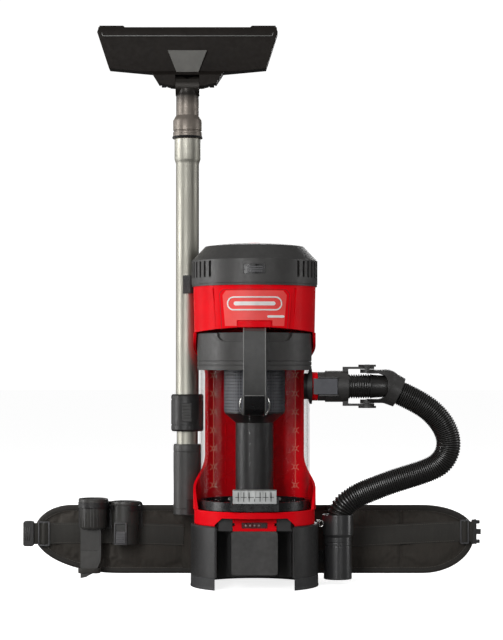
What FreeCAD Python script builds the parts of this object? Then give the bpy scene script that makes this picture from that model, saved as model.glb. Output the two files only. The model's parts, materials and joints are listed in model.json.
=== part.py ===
"""Backpack vacuum cleaner: canister on a footed base, clear dust bin, collapsed telescopic
wand with a floor tool on the left, swivelling hose on the right, harness and hip belt behind.

Millimetres. +Z is up, the canister's axis is the Z axis, the feet stand on z = 0, the bin's
carry handle faces -Y and the wearer is on the +Y side.
"""

import FreeCAD, Part
import math
import os

from FreeCAD import Vector as V

# ---- driving dimensions ---------------------------------------------------------------
BASE_R = 108.0  # footed base
BASE_WALL = 5.0
FOOT_H = 20.4  # rubber boot round the foot
BASE_TOP = 104.8  # shoulder under the red band
BAY_HALF = 66.0  # half the width of the battery bay's opening
BAY_BACK = 12.0  # front face of the bay's rear wall
BAND_R = 102.0
BAND_TOP = 129.5
BATTERY_HALF, BATTERY_FRONT, BATTERY_BACK = 38.8, -78.0, 8.0
BATTERY_LOW, BATTERY_SHOULDER, BATTERY_TOP = 24.0, 97.0, 118.6
BIN_R = 93.5
BIN_WALL = 2.5
LID_LOW, BIN_LOW, BIN_HIGH = 130.0, 145.0, 372.0
COLLAR_R, COLLAR_LOW, COLLAR_TOP = 97.0, 364.0, 426.5
FRAME_R, FRAME_WALL = 104.0, 4.5
HOUSING_R_LOW, HOUSING_R = 102.2, 103.8
HOUSING_LOW, HOUSING_TOP, HOUSING_WALL = 427.0, 505.0, 4.0
ARCH_RISE = 8.0  # rise of the housing's lower edge at its front and back
CAP_R, CAP_SHOULDER, CAP_CROWN = 107.0, 549.4, 578.0
PORT_Z = 336.4  # height of the hose port's axis
YOKE_X = 191.4  # vertical pivot of the hose elbow
HOSE_R, HOSE_WALL = 20.3, 3.0
CUFF_X, CUFF_Y, CUFF_LOW, CUFF_SHELF, CUFF_TOP = 142.0, 20.0, 8.0, 84.0, 118.0
WAND_X, WAND_Y = -116.4, 70.0
TUBE_R, INNER_TUBE_R = 20.0, 18.4
FITTING_R, FITTING_LOW, FITTING_TOP = 24.0, 114.0, 236.0
LOCK_R, LOCK_LOW, LOCK_TOP = 28.0, 258.0, 322.0
TUBE_TOP = 765.0
HINGE_Y, HINGE_Z = 72.0, 858.0  # floor tool's hinge
BARREL_R = 17.5
BELT_Y, BELT_T = 112.0, 14.0
BELT_LOW, BELT_TOP = 8.0, 126.0
WING_PIVOT_X = 115.0
WING_TIP = 386.0
TOOL_Y, TOOL_R = 83.0, 23.5
CREVICE_X, BRUSH_X = -280.0, -225.0
CREVICE_RIM, BRUSH_RIM = 141.0, 136.0
RUN = 0.06  # radial running clearance of a shaft in its hole
GAP = 0.5  # space between bodies that move past each other

X, Y, Z = V(1, 0, 0), V(0, 1, 0), V(0, 0, 1)

parts = {}


# ---- shape helpers --------------------------------------------------------------------
def box(x0, x1, y0, y1, z0, z1):
    """Axis-aligned block between two corners."""
    return Part.makeBox(x1 - x0, y1 - y0, z1 - z0, V(x0, y0, z0))


def cyl(r, z0, z1, x=0.0, y=0.0):
    """Vertical cylinder."""
    return Part.makeCylinder(r, z1 - z0, V(x, y, z0))


def ring(r_out, r_in, z0, z1, x=0.0, y=0.0):
    """Vertical tube."""
    return cyl(r_out, z0, z1, x, y).cut(cyl(r_in, z0 - 1, z1 + 1, x, y))


def rod(r, p, q):
    """Cylinder between two points."""
    d = q - p
    return Part.makeCylinder(r, d.Length, p, d)


def cross_rod(r, x0, x1, y, z):
    """Cylinder along X."""
    return rod(r, V(x0, y, z), V(x1, y, z))


def prism(points, direction):
    """Closed outline of points pushed along a vector."""
    return Part.Face(Part.makePolygon(list(points) + [points[0]])).extrude(direction)


def xz_prism(outline, y0, y1):
    """Outline of (x, z) points between two depths."""
    return prism([V(x, y0, z) for x, z in outline], V(0, y1 - y0, 0))


def yz_prism(outline, x0, x1):
    """Outline of (y, z) points between two x positions."""
    return prism([V(x0, y, z) for y, z in outline], V(x1 - x0, 0, 0))


def revolved(outline, x=0.0, y=0.0):
    """Outline of (radius, z) points turned round a vertical axis."""
    face = Part.Face(Part.makePolygon([V(x + r, y, z) for r, z in outline + [outline[0]]]))
    return face.revolve(V(x, y, 0), Z, 360)


def fuse(*shapes):
    """One solid from several that touch or overlap."""
    return shapes[0].multiFuse(list(shapes[1:])).removeSplitter()


def cut(shape, *tools):
    """shape without the tools."""
    return shape.cut(list(tools)).removeSplitter()


def turned(shape, degrees, x=0.0, y=0.0):
    """Copy turned about a vertical axis."""
    made = shape.copy()
    made.rotate(V(x, y, 0), Z, degrees)
    return made


def mirrored(shape):
    """Copy on the other side of the X = 0 plane."""
    return shape.mirror(V(0, 0, 0), X)


def both(shape):
    """The shape and its mirror image."""
    return [shape, mirrored(shape)]


def rounded_box(x0, x1, y0, y1, z0, z1, r):
    """Block with its four edges along Y rounded."""
    made = box(x0, x1, y0, y1, z0, z1)
    along_y = [e for e in made.Edges if abs(abs(e.tangentAt(0).y) - 1) < 1e-6]
    return made.makeFillet(r, along_y)


def spline(points, x=0.0):
    """Smooth edge through (y, z) points."""
    curve = Part.BSplineCurve()
    curve.interpolate([V(x, y, z) for y, z in points])
    return curve.toShape()


def line(y0, z0, y1, z1):
    """Straight edge between two (y, z) points."""
    return Part.LineSegment(V(0, y0, z0), V(0, y1, z1)).toShape()


# ---- base -----------------------------------------------------------------------------
def make_base():
    """Footed base: round skirt open at the front, walls and rails of the battery bay."""
    inner = BASE_R - BASE_WALL
    skirt = revolved([(inner, FOOT_H), (BASE_R, FOOT_H), (BASE_R, BASE_TOP - 2), (BASE_R - 1.6, BASE_TOP),
                      (96, BASE_TOP), (96, BASE_TOP - 4), (inner, BASE_TOP - 4)])
    opening = box(-BAY_HALF, BAY_HALF, -BASE_R - 5, 0, -1, BASE_TOP + 1)
    front = -math.sqrt(BASE_R**2 - BAY_HALF**2) + 1
    deck_z = BATTERY_TOP + 1.2
    cheek = box(BAY_HALF - 3, BAY_HALF, front, BAY_BACK + 4, FOOT_H, BASE_TOP - 1)
    upper_cheek = box(60, BAY_HALF, -90, BAY_BACK + 4, BASE_TOP - 4, deck_z).common(cyl(96.6, 90, 130))
    wall = box(-BAY_HALF, BAY_HALF, BAY_BACK, BAY_BACK + 4, 12, deck_z)
    deck = cyl(96.6, deck_z, deck_z + 4)
    block = box(36.7, BAY_HALF - 2, BATTERY_FRONT + 4, BAY_BACK, BATTERY_SHOULDER, deck_z)
    block = block.common(cyl(96.6, 90, 130))
    rail = box(33.4, 37, BATTERY_FRONT + 12, BAY_BACK, 106, 110)
    bay = [*both(cheek), *both(upper_cheek), *both(block), *both(rail)]
    parts["base_housing"] = fuse(cut(skirt, opening), wall, deck, *bay)

    boot = revolved([(inner - 0.6, 0), (BASE_R + 0.5, 0), (BASE_R + 0.5, 3), (BASE_R, 3.6),
                     (BASE_R, FOOT_H - 1.2), (BASE_R - 1, FOOT_H - 0.2), (inner - 0.6, FOOT_H - 0.2)])
    parts["foot_pads"] = cut(boot, opening)

    band = revolved([(97, BASE_TOP), (BAND_R - 1, BASE_TOP), (BAND_R, BASE_TOP + 1.2),
                     (BAND_R, BAND_TOP - 1.2), (BAND_R - 1, BAND_TOP), (97, BAND_TOP)])
    arch = [(-BAY_HALF, 100), (-BAY_HALF, 107.5), (-54, 119),
            (54, 119), (BAY_HALF, 107.5), (BAY_HALF, 100)]
    parts["base_band"] = cut(band, xz_prism(arch, -BAND_R - 5, -40))


# ---- battery --------------------------------------------------------------------------
def make_battery():
    """Slide-in battery pack with a latch on each side of its red head."""
    half = BATTERY_HALF
    case = rounded_box(-half, half, BATTERY_FRONT, BATTERY_BACK, BATTERY_LOW, BATTERY_SHOULDER, 5)
    parts["battery_case"] = case
    head = box(-36.2, 36.2, BATTERY_FRONT, BATTERY_BACK, BATTERY_SHOULDER, BATTERY_TOP)
    groove = box(-40, -32.8, -90, 10, 105.4, 110.6)
    gauge = box(-22, 22, BATTERY_FRONT - 1, BATTERY_FRONT + 1.5, 101, 112)
    seat = box(-40, -28.4, BATTERY_FRONT + 3, BATTERY_FRONT + 28, 98, 104.6)
    parts["battery_head"] = cut(head, *both(groove), gauge, *both(seat))
    latch = box(-36.2, -31.2, BATTERY_FRONT + 3.5, BATTERY_FRONT + 27.5, 98.5, 104.1)
    parts["battery_latch_left"] = latch
    parts["battery_latch_right"] = mirrored(latch)


# ---- red frame and motor housing ------------------------------------------------------
def above_arch():
    """Everything above the motor housing's arched lower edge."""
    radius = (HOUSING_R**2 + ARCH_RISE**2) / (2 * ARCH_RISE)
    crown = HOUSING_LOW + ARCH_RISE
    arch = Part.makeCylinder(radius, 400, V(0, -200, crown - radius), Y)
    return box(-160, 160, -160, 160, 380, 530).cut(arch)


def make_frame():
    """C-shaped red back behind the bin, sweeping forward at its foot and its head."""
    top = HOUSING_LOW + 20
    shell = ring(FRAME_R, FRAME_R - FRAME_WALL, BAND_TOP, top)
    low = spline([(-30.5, BAND_TOP - 1), (-24, 143), (8, 168), (46, 190), (59, 226)])
    mid = line(59, 226, 59, 346)
    high = spline([(59, 346), (50, 376), (16, 397), (-6, 409), (-10, top + 1)])
    closing = [line(-10, top + 1, 130, top + 1), line(130, top + 1, 130, BAND_TOP - 1),
               line(130, BAND_TOP - 1, -30.5, BAND_TOP - 1)]
    side = Part.Face(Part.Wire([low, mid, high, *closing]))
    side.translate(V(-150, 0, 0))
    parts["back_frame"] = shell.common(side.extrude(V(300, 0, 0))).cut(above_arch()).removeSplitter()


def make_housing():
    """Motor housing: slightly tapered red shell with a floor and a raised front plate."""
    height = HOUSING_TOP - HOUSING_LOW
    foot = V(0, 0, HOUSING_LOW)
    shell = Part.makeCone(HOUSING_R_LOW, HOUSING_R, height, foot)
    hollow = Part.makeCone(HOUSING_R_LOW - HOUSING_WALL, HOUSING_R - HOUSING_WALL, height, foot)
    outline = [(-62, 492), (-57, 430), (57, 430), (62, 492), (54, 498), (-54, 498)]
    plate = ring(HOUSING_R + 1.2, HOUSING_R - 3, 430, 498).common(xz_prism(outline, -130, -40))
    floor = ring(HOUSING_R - 3, 32, 438, 442)
    grooves = []
    for side in (-1, 1):
        outline = [(side * 70, 504), (side * 64, 427), (side * 61, 427), (side * 66, 504)]
        skin = ring(HOUSING_R + 3, HOUSING_R - 1.8, 420, 500)
        grooves.append(skin.common(xz_prism(outline, -130, -40)))
    made = fuse(shell.cut(hollow), plate, floor).common(above_arch())
    notch = box(-28.5, 28.5, -130, -88, 400, 445.5)
    parts["motor_housing"] = cut(made, *grooves, notch)
    tab = ring(HOUSING_R + 2.2, HOUSING_R - 6.5, 434.6, 445).common(box(-28, 28, -130, -60, 430, 446))
    parts["release_button"] = tab.removeSplitter()


def make_cap():
    """Vented black cap, with a recess for its name plate and a hole for the power button."""
    outer = [(0, HOUSING_TOP), (CAP_R - 0.8, HOUSING_TOP), (CAP_R - 0.8, HOUSING_TOP + 3.4),
             (CAP_R, HOUSING_TOP + 4), (CAP_R, CAP_SHOULDER - 1), (CAP_R - 1, CAP_SHOULDER),
             (84, 573), (60, 576.2), (30, 577.6), (0, CAP_CROWN)]
    inner = [(0, HOUSING_TOP - 1), (CAP_R - 3.4, HOUSING_TOP - 1), (CAP_R - 3.4, CAP_SHOULDER - 1.6),
             (82.6, 569.8), (59, 573.2), (30, 574.6), (0, 575)]
    shell = revolved(outer).cut(revolved(inner))
    slot = box(-2.7, 2.7, -CAP_R - 5, -CAP_R + 12, 519, 546)
    slots = [turned(slot, a) for a in range(43, 318, 7) if not 118 < a < 242]
    back_slots = [turned(slot, a) for a in range(120, 241, 7)]
    seat = ring(CAP_R + 2, CAP_R - 1.4, 522.6, 539.4).common(box(-18.7, 18.7, -120, -60, 520, 541))
    made = cut(shell, *slots, *back_slots, seat, cyl(15.0, 560, 590))
    parts["top_cap"] = fuse(made, ring(19, 15.0, 565, 576.5))
    button = revolved([(0, 568.5), (14.5, 568.5), (14.5, 578.4), (13, 579.6), (0, 579.8)])
    parts["power_button"] = button


# ---- motor ----------------------------------------------------------------------------
def make_motor():
    """Fan motor on a bracket plate, a bladed impeller below it and a filter round it."""
    can = ring(42, 39.5, 469, 516)
    lid = ring(42, 14, 513, 516)
    flange = ring(98.4, 14, 466, 469)
    holes = [turned(cyl(11, 460, 475, 0, -70), a) for a in range(0, 360, 45)]
    bearings = [ring(14.2, 4 + RUN, 465, 472), ring(14.2, 4 + RUN, 509, 516)]
    parts["motor_can"] = cut(fuse(can, lid, flange, *bearings), *holes)
    parts["motor_shaft"] = fuse(cyl(4, 444, 518), ring(30, 4, 478, 504))
    hub = ring(12, 4, 445, 460)
    disc = ring(58, 11, 458, 460)
    curve = [(10, 0), (30, 9), (56, 30), (56, 28), (30, 7), (10, -2)]
    blade = prism([V(x, y, 446) for x, y in curve], V(0, 0, 13))
    parts["impeller"] = fuse(hub, disc, *[turned(blade, a) for a in range(0, 360, 40)])
    parts["exhaust_filter"] = ring(98, 84, 518, 544)
    board = box(-30, 30, 80, 81.6, 472, 502)
    chips = [box(x, x + 10, 74, 80, z, z + 8) for x, z in ((-26, 476), (-8, 488), (12, 478))]
    posts = [box(x, x + 4, 81.6, 90, 469, 502) for x in (-28, 24)]
    parts["control_board"] = fuse(board, *chips, *posts)


# ---- dust bin -------------------------------------------------------------------------
def port_cyl(r, x0, x1):
    """Cylinder along the hose port's axis."""
    return cross_rod(r, x0, x1, 0, PORT_Z)


def make_bin():
    """Clear bin, collar, handle, cyclone, lid with its latch, and the hose port."""
    ear = box(19.4, 22.8, -112, -86, 289, 314).cut(cyl(BIN_R - 1, 280, 320))
    shell = fuse(ring(BIN_R, BIN_R - BIN_WALL, BIN_LOW, BIN_HIGH), *both(ear))
    parts["bin_shell"] = cut(shell, port_cyl(22.5, 60, 120))

    collar = revolved([(BIN_R + 0.2, COLLAR_LOW), (COLLAR_R, COLLAR_LOW), (COLLAR_R, COLLAR_TOP - 1.5),
                       (COLLAR_R - 1.5, COLLAR_TOP), (88, COLLAR_TOP), (88, BIN_HIGH),
                       (BIN_R + 0.2, BIN_HIGH)])
    high = COLLAR_TOP + 5
    outline = [(20, high), (20, 411.5), (50, 411.5), (57, 414), (62, 420), (62, high)]
    pocket = ring(COLLAR_R + 3, COLLAR_R - 3.2, 400, high).common(xz_prism(outline, -130, -40))
    rims = [ring(COLLAR_R + 2, COLLAR_R - 0.9, z, z + 1.6) for z in (371, 378)]
    deck = ring(88.2, 46, 420, 423)
    parts["bin_collar"] = cut(fuse(collar, deck), *both(pocket), *rims)

    outer = [(-90, 426), (-98, 432.5), (-122, 432.5), (-130, 428), (-134, 412), (-134, 326), (-130, 312),
             (-118, 300), (-106, 291.5), (-90, 288)]
    inner = [(-90, 412), (-117, 412), (-123, 407), (-125.5, 396), (-125.5, 328), (-121, 318),
             (-108, 306), (-90, 301)]
    grip = cut(yz_prism(outer, -18.8, 18.8), yz_prism(inner, -30, 30))
    grip = grip.cut([cyl(BIN_R + 0.1, 250, COLLAR_LOW), cyl(COLLAR_R + 0.1, COLLAR_LOW, 440)])
    parts["bin_handle"] = grip.removeSplitter()

    cone = Part.makeCone(32.2, 51, 16, V(0, 0, 275)).cut(Part.makeCone(30.2, 49, 16, V(0, 0, 275)))
    funnel = [ring(51, 49, 291, 420), ring(54, 49, 414, 420), ring(32.2, 30.2, BIN_LOW, 275)]
    parts["cyclone_shroud"] = fuse(cone, *funnel)
    parts["dust_filter"] = ring(40, 30, 308, 419.8)

    pivot_y, pivot_z = -99.5, 150.5
    lid = cut(cyl(93, LID_LOW, BIN_LOW - 0.2), cyl(88, LID_LOW + 4, BIN_LOW + 2))
    plug = ring(34.5, 28, LID_LOW + 2, BIN_LOW)
    block = box(-40, 40, -103.5, -84, 131.7, 143.4)
    ear = box(36.4, 40, -103.5, -95.5, 140, 155.5)
    block = cut(fuse(block, *both(ear)), cyl(BIN_R + 0.2, BIN_LOW - 0.2, 170))
    pin = cross_rod(1.5, -38.5, 38.5, pivot_y, pivot_z)
    parts["bin_lid"] = fuse(cut(fuse(lid, plug), cross_rod(2, -60, 60, pivot_y, pivot_z)), block, pin)
    profile = [(-103, 144.2), (-96.4, 144.2), (-96.2, 152), (-97.2, 166.5), (-100.2, 167), (-102.6, 152)]
    ribs = [box(x - 1, x + 1, -104.4, -99, 152, 165) for x in range(-24, 25, 12)]
    latch = fuse(yz_prism(profile, -36, 36), *ribs)
    parts["lid_latch"] = cut(latch, cross_rod(1.5 + RUN, -60, 60, pivot_y, pivot_z))

    tube = cut(port_cyl(21.9, 84, 122), port_cyl(18, 60, 130))
    flange = cut(port_cyl(30, 80, 97.4), port_cyl(20, 60, 130), cyl(BIN_R + 0.1, 290, 380),
                 cyl(COLLAR_R + 0.1, COLLAR_LOW - 0.1, 380))
    parts["inlet_port"] = cut(fuse(tube, flange), cyl(90, 290, 380).cut(port_cyl(22, 60, 130)))
    parts["port_ring"] = cut(port_cyl(24.4, 97.6, 106.8), port_cyl(22.0, 90, 110))


# ---- hose -----------------------------------------------------------------------------
HOSE_ROUTE = [
    (243.0, 0.0, 327.0),
    (279.0, 0.0, 310.5),
    (308.0, 0.5, 288.5),
    (327.0, 1.5, 260.5),
    (331.0, 3.0, 230.5),
    (317.0, 5.0, 204.5),
    (289.0, 7.5, 191.0),
    (240.0, 11.0, 176.0),
    (203.0, 14.5, 162.0),
    (172.0, 17.5, 149.0),
    (148.5, 19.5, 130.5),
    (142.0, 20.0, 106.5),
    (142.0, 20.0, CUFF_SHELF),
]


def rounded_route(points):
    """Straight runs joined by tangent arcs, each as large as its two runs allow."""
    p = [V(*q) for q in points]
    edges, radii, at = [], [], p[0]
    for before, corner, after in zip(p, p[1:], p[2:]):
        back, on = before - corner, after - corner
        reach = 0.45 * min(back.Length, on.Length)
        half_turn = (math.pi - back.getAngle(on)) / 2
        back.normalize()
        on.normalize()
        radius = reach / math.tan(half_turn)
        inward = (back + on).normalize()
        start, end = corner + back * reach, corner + on * reach
        middle = corner + inward * (radius / math.cos(half_turn) - radius)
        edges.append(Part.LineSegment(at, start).toShape())
        edges.append(Part.Arc(start, middle, end).toShape())
        radii.append(radius)
        at = end
    edges.append(Part.LineSegment(at, p[-1]).toShape())
    return Part.Wire(edges), radii


def make_coupler():
    """Swivelling coupler with a press button and the two arms of the elbow's yoke."""
    body = fuse(port_cyl(24.5, 107.4, 120), port_cyl(26.6, 120, 159))
    rail = box(108, 141, -28.8, -18, PORT_Z + 13.9, PORT_Z + 16.2)
    rails = [rail, rail.mirror(V(0, 0, PORT_Z), Z)]
    bore = fuse(port_cyl(21.9 + RUN, 100, 124), port_cyl(18.5, 120, 162))
    seat = box(98, 140.4, -40, -24.0, PORT_Z - 13.7, PORT_Z + 13.7)
    arm = box(154, YOKE_X, -9, 9, PORT_Z + 29.3, PORT_Z + 33.2)
    eye = cyl(12, PORT_Z + 29.3, PORT_Z + 33.2, YOKE_X)
    web = box(150, 158.9, -9, 9, PORT_Z + 20, PORT_Z + 33.2)
    pin = cyl(4, PORT_Z + 22.4, PORT_Z + 37, YOKE_X)
    knob = cyl(15, PORT_Z + 33.2, PORT_Z + 36.8, YOKE_X)
    side = fuse(arm, eye, web.cut(port_cyl(22, 140, 170)), pin, knob)
    sides = [side, side.mirror(V(0, 0, PORT_Z), Z)]
    parts["hose_coupler"] = fuse(cut(fuse(body, *rails), bore, seat), *sides)
    parts["coupler_button"] = box(99.5, 139.8, -29.4, -26.6, PORT_Z - 13.3, PORT_Z + 13.3)


def make_hose():
    """Bellows, hood, ribbed hose and end cuff, with the cradle that the cuff parks in."""
    ribs = [(21.0, 159.4), (21.0, 161.5)]
    for n in range(8):
        x = 162.5 + 4.2 * n
        ribs += [(18.6, x + 1.2), (20.8, x + 3.0)]
    ribs += [(19.8, 199.0), (18.0, 226.5)]
    outline = [V(x, 0, PORT_Z + r) for r, x in ribs]
    outline += [V(226.5, 0, PORT_Z + 15.5), V(159.4, 0, PORT_Z + 15.5)]
    face = Part.Face(Part.makePolygon(outline + [outline[0]]))
    parts["hose_bellows"] = face.revolve(V(0, 0, PORT_Z), X, 360)

    start = V(*HOSE_ROUTE[0])
    out = (V(*HOSE_ROUTE[1]) - start).normalize()
    bend = V(YOKE_X + 31, 0, PORT_Z)
    sleeve = Part.makeCone(28.2, 26, (start - bend).Length + 3, bend, out)
    eyes = [cyl(12, z, z + 6.4, YOKE_X) for z in (PORT_Z - 28.8, PORT_Z + 22.4)]
    hood = fuse(port_cyl(28.4, YOKE_X, bend.x), Part.makeSphere(29.0, bend), sleeve, *eyes)
    window = [(150, -21.6), (212, -21.6), (221, -18), (225, -10),
              (225, 10), (221, 18), (212, 21.6), (150, 21.6)]
    hollow = [rod(17.3, bend, start), rod(21.0, start, start + out * 30), port_cyl(21.6, 150, 229),
              cyl(4 + RUN, PORT_Z - 45, PORT_Z + 45, YOKE_X),
              xz_prism([(x, PORT_Z + z) for x, z in window], -40, 40)]
    parts["hose_hood"] = cut(hood, *hollow)

    path, radii = rounded_route(HOSE_ROUTE)
    skin = Part.Wire(Part.Circle(start, out, HOSE_R).toShape())
    bore = Part.Wire(Part.Circle(start, out, HOSE_R - HOSE_WALL).toShape())
    parts["hose"] = path.makePipeShell([skin], True, False).cut(path.makePipeShell([bore], True, False))
    section = math.pi * (HOSE_R**2 - (HOSE_R - HOSE_WALL) ** 2)
    print("hose length", round(path.Length, 1), "radii", [round(r) for r in radii])
    print("hose volume", round(parts["hose"].Volume), "expected", round(section * path.Length))

    lower = revolved([(16, CUFF_LOW), (23, CUFF_LOW), (24, CUFF_LOW + 1), (24, 80), (26.8, CUFF_SHELF),
                      (26.8, CUFF_TOP - 1), (26, CUFF_TOP), (25, CUFF_TOP), (25, CUFF_SHELF),
                      (17.5, CUFF_SHELF), (17.5, 50), (16, 48)], CUFF_X, CUFF_Y)
    grooves = [ring(26, 23.2, z, z + 2, CUFF_X, CUFF_Y) for z in (64, 70)]
    parts["hose_cuff"] = cut(lower, *grooves)

    saddle = ring(27.4, 24 + GAP, 30, 56, CUFF_X, CUFF_Y)
    reach = [V(CUFF_X, CUFF_Y, 0), V(CUFF_X - 52, CUFF_Y + 30, 0), V(CUFF_X - 30, CUFF_Y + 60, 0),
             V(CUFF_X + 30, CUFF_Y + 60, 0), V(CUFF_X + 52, CUFF_Y + 30, 0)]
    web = box(96, 140, 42, 50, 32, 54)
    web = web.cut([cyl(BASE_R + 0.02, 20, 70), cyl(26, 20, 70, CUFF_X, CUFF_Y)])
    parts["cuff_cradle"] = fuse(saddle.common(prism(reach, V(0, 0, 100))), web)


# ---- wand -----------------------------------------------------------------------------
def wand_ring(r_out, r_in, z0, z1):
    """Tube on the wand's axis."""
    return ring(r_out, r_in, z0, z1, WAND_X, WAND_Y)


def make_wand():
    """End fitting, inner and outer tubes, and the telescope's lock collar with its button."""
    socket_top = FITTING_LOW + 36
    fitting = revolved([(16, FITTING_LOW), (23, FITTING_LOW), (FITTING_R, FITTING_LOW + 1),
                        (FITTING_R, FITTING_TOP - 3), (22.6, FITTING_TOP), (INNER_TUBE_R, FITTING_TOP),
                        (INNER_TUBE_R, socket_top), (16, socket_top)], WAND_X, WAND_Y)
    parts["wand_fitting"] = cut(fitting, *[wand_ring(25, 23.2, z, z + 1.6) for z in (124, 222)])
    parts["wand_inner_tube"] = wand_ring(INNER_TUBE_R, INNER_TUBE_R - 2, socket_top, 655)

    tube_low, flare_low = LOCK_TOP - 6, 722
    slide_r = INNER_TUBE_R + RUN
    outer = revolved([(slide_r, tube_low), (TUBE_R, tube_low), (TUBE_R, flare_low), (22.6, flare_low + 8),
                      (22.6, TUBE_TOP), (20.9, TUBE_TOP), (20.9, flare_low + 10), (slide_r, flare_low)],
                     WAND_X, WAND_Y)
    parts["wand_outer_tube"] = outer
    collar = revolved([(slide_r, LOCK_LOW), (26, LOCK_LOW), (LOCK_R, LOCK_LOW + 3), (LOCK_R, LOCK_TOP - 3),
                       (26, LOCK_TOP), (TUBE_R + 0.02, LOCK_TOP), (TUBE_R + 0.02, tube_low),
                       (slide_r, tube_low)], WAND_X, WAND_Y)
    grooves = [wand_ring(LOCK_R + 1, LOCK_R - 0.9, z, z + 1.8) for z in (268, 312)]
    face = WAND_Y - LOCK_R
    window = box(WAND_X - 8.4, WAND_X + 8.4, face - 2, face + 6.8, 275, 307)
    parts["lock_collar"] = cut(collar, *grooves, window)
    button = box(WAND_X - 8, WAND_X + 8, face - 0.4, face + 4.4, 275.4, 306.6)
    ribs = [box(WAND_X - 7, WAND_X + 7, face - 1.4, face, z, z + 2) for z in range(281, 302, 5)]
    parts["lock_button"] = fuse(button, *ribs)

    inner, jaw = TUBE_R + GAP, 25.0
    near, far = WAND_Y - jaw, WAND_Y + jaw
    front = box(WAND_X - 7, WAND_X + 6, near, WAND_Y - inner, 496, 527)
    back = box(WAND_X - 7, WAND_X + 6, WAND_Y + inner, far, 496, 527)
    bow = wand_ring(jaw, inner, 496, 527).common(box(WAND_X, WAND_X + 40, 20, 120, 490, 530))
    web = box(-98, -70, 56, 82, 507, 525).cut(cyl(23, 490, 540, WAND_X, WAND_Y))
    ridges = [box(WAND_X - 7, WAND_X + 4, near - 1.4, near, z, z + 2) for z in range(498, 525, 4)]
    clip = fuse(front, back, bow, web, *ridges).cut(cyl(CAP_R + 0.02, 480, 560))
    parts["wand_clip"] = clip.removeSplitter()

    inner = FITTING_R + GAP
    bow = wand_ring(27.6, inner, 118, 142).common(box(WAND_X, WAND_X + 40, 20, 120, 110, 150))
    web = box(-93, -68, 60, 80, 120, 140).cut(cyl(26, 110, 150, WAND_X, WAND_Y))
    cradle = fuse(bow, web).cut([cyl(FRAME_R + 0.02, BAND_TOP, 150), cyl(BAND_R + 0.02, 100, BAND_TOP)])
    parts["wand_cradle"] = cradle.removeSplitter()


def make_floor_tool():
    """Floor tool: swivelling neck, hinged head with its hood, sole plate and rear wheels."""
    x0 = WAND_X
    bore = 15.0
    neck = revolved([(bore, 738), (20.9 - RUN, 738), (20.9 - RUN, 765.4), (25, 765.8), (25, 777),
                     (23.6, 778), (23.6, 779.4), (25, 780.4), (25, 797), (20, 806), (19.8, 806),
                     (19.8, 839), (BARREL_R, 846), (BARREL_R, 852), (bore, 852)], WAND_X, WAND_Y)
    barrel = cross_rod(BARREL_R, x0 - 20.6, x0 + 20.6, HINGE_Y, HINGE_Z)
    pins = cross_rod(4.5, x0 - 29, x0 + 29, HINGE_Y, HINGE_Z)
    duct = cyl(12, 845, HINGE_Z + 30, x0, HINGE_Y)
    parts["nozzle_neck"] = cut(fuse(neck, cut(fuse(barrel, pins), duct)), cyl(12, 800, 870, x0, WAND_Y))

    right = [(109, 960), (112, 963), (153, 963), (157, 951), (137, 889), (62, 882), (50, 862),
             (25, 856)]
    outline = right + [(-x, z) for x, z in reversed(right)]
    slab = xz_prism([(x0 + x, z) for x, z in outline], 54, 104)
    profile = [(104, 964), (66, 964), (61, 956), (59, 944), (70, 884), (56, 876), (54.5, 858),
               (60, 846), (92, 846), (104, 884)]
    slab = slab.common(yz_prism(profile, x0 - 200, x0 + 200))
    pocket_r = BARREL_R + 0.7
    pocket = [cross_rod(pocket_r, x0 - 21, x0 + 21, HINGE_Y, HINGE_Z),
              box(x0 - 21, x0 + 21, 40, HINGE_Y, HINGE_Z - 30, HINGE_Z + pocket_r),
              box(x0 - 21, x0 + 21, 40, HINGE_Y + pocket_r, HINGE_Z - 30, HINGE_Z)]
    bores = cross_rod(4.5 + RUN, x0 - 29.6, x0 + 29.6, HINGE_Y, HINGE_Z)
    duct = box(x0 - 16, x0 + 16, HINGE_Y, 96, HINGE_Z, 925)
    slot = box(x0 - 125, x0 + 125, 86, 110, 926, 948)
    bays = [box(x0 + s * 42 - 6, x0 + s * 42 + 6, 86, 108, 850, 882) for s in (-1, 1)]
    axle_hole = cross_rod(2 + RUN, x0 - 50, x0 + 50, 96, 868)
    middle_bay = box(x0 - 37, x0 + 37, 92, 108, 850, 872)
    parts["nozzle_head"] = cut(slab, *pocket, bores, duct, slot, *bays, middle_bay, axle_hole)

    hood = xz_prism([(x0 - 34, 919), (x0 + 34, 919), (x0 + 19, 882), (x0 - 19, 882)], 55, 80)
    front = yz_prism([(57.8, 918), (60, 921), (80, 921), (80, 880), (66, 880)], x0 - 60, x0 + 60)
    parts["nozzle_hood"] = hood.common(front).cut(slab).removeSplitter()

    plate = xz_prism([(x0 - 150, 955), (x0 + 150, 955), (x0 + 132, 892), (x0 - 132, 892)], 104, 106.5)
    plate = plate.cut(box(x0 - 125, x0 + 125, 100, 110, 926, 948))
    strips = [box(x0 - 128, x0 + 128, 106.5, 111, z, z + 4) for z in (919, 950)]
    parts["nozzle_sole"] = fuse(plate, *strips)
    wheels = [cross_rod(9.0, x0 + s * 42 - 4, x0 + s * 42 + 4, 96, 868) for s in (-1, 1)]
    parts["nozzle_wheels"] = fuse(cross_rod(2, x0 - 49, x0 + 49, 96, 868), *wheels)


# ---- harness and belt -----------------------------------------------------------------
def housing_cone():
    """The motor housing's outside, as a solid cone with a hair of room round it."""
    height = HOUSING_TOP - HOUSING_LOW
    return Part.makeCone(HOUSING_R_LOW + 0.02, HOUSING_R + 0.02, height, V(0, 0, HOUSING_LOW))


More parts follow.
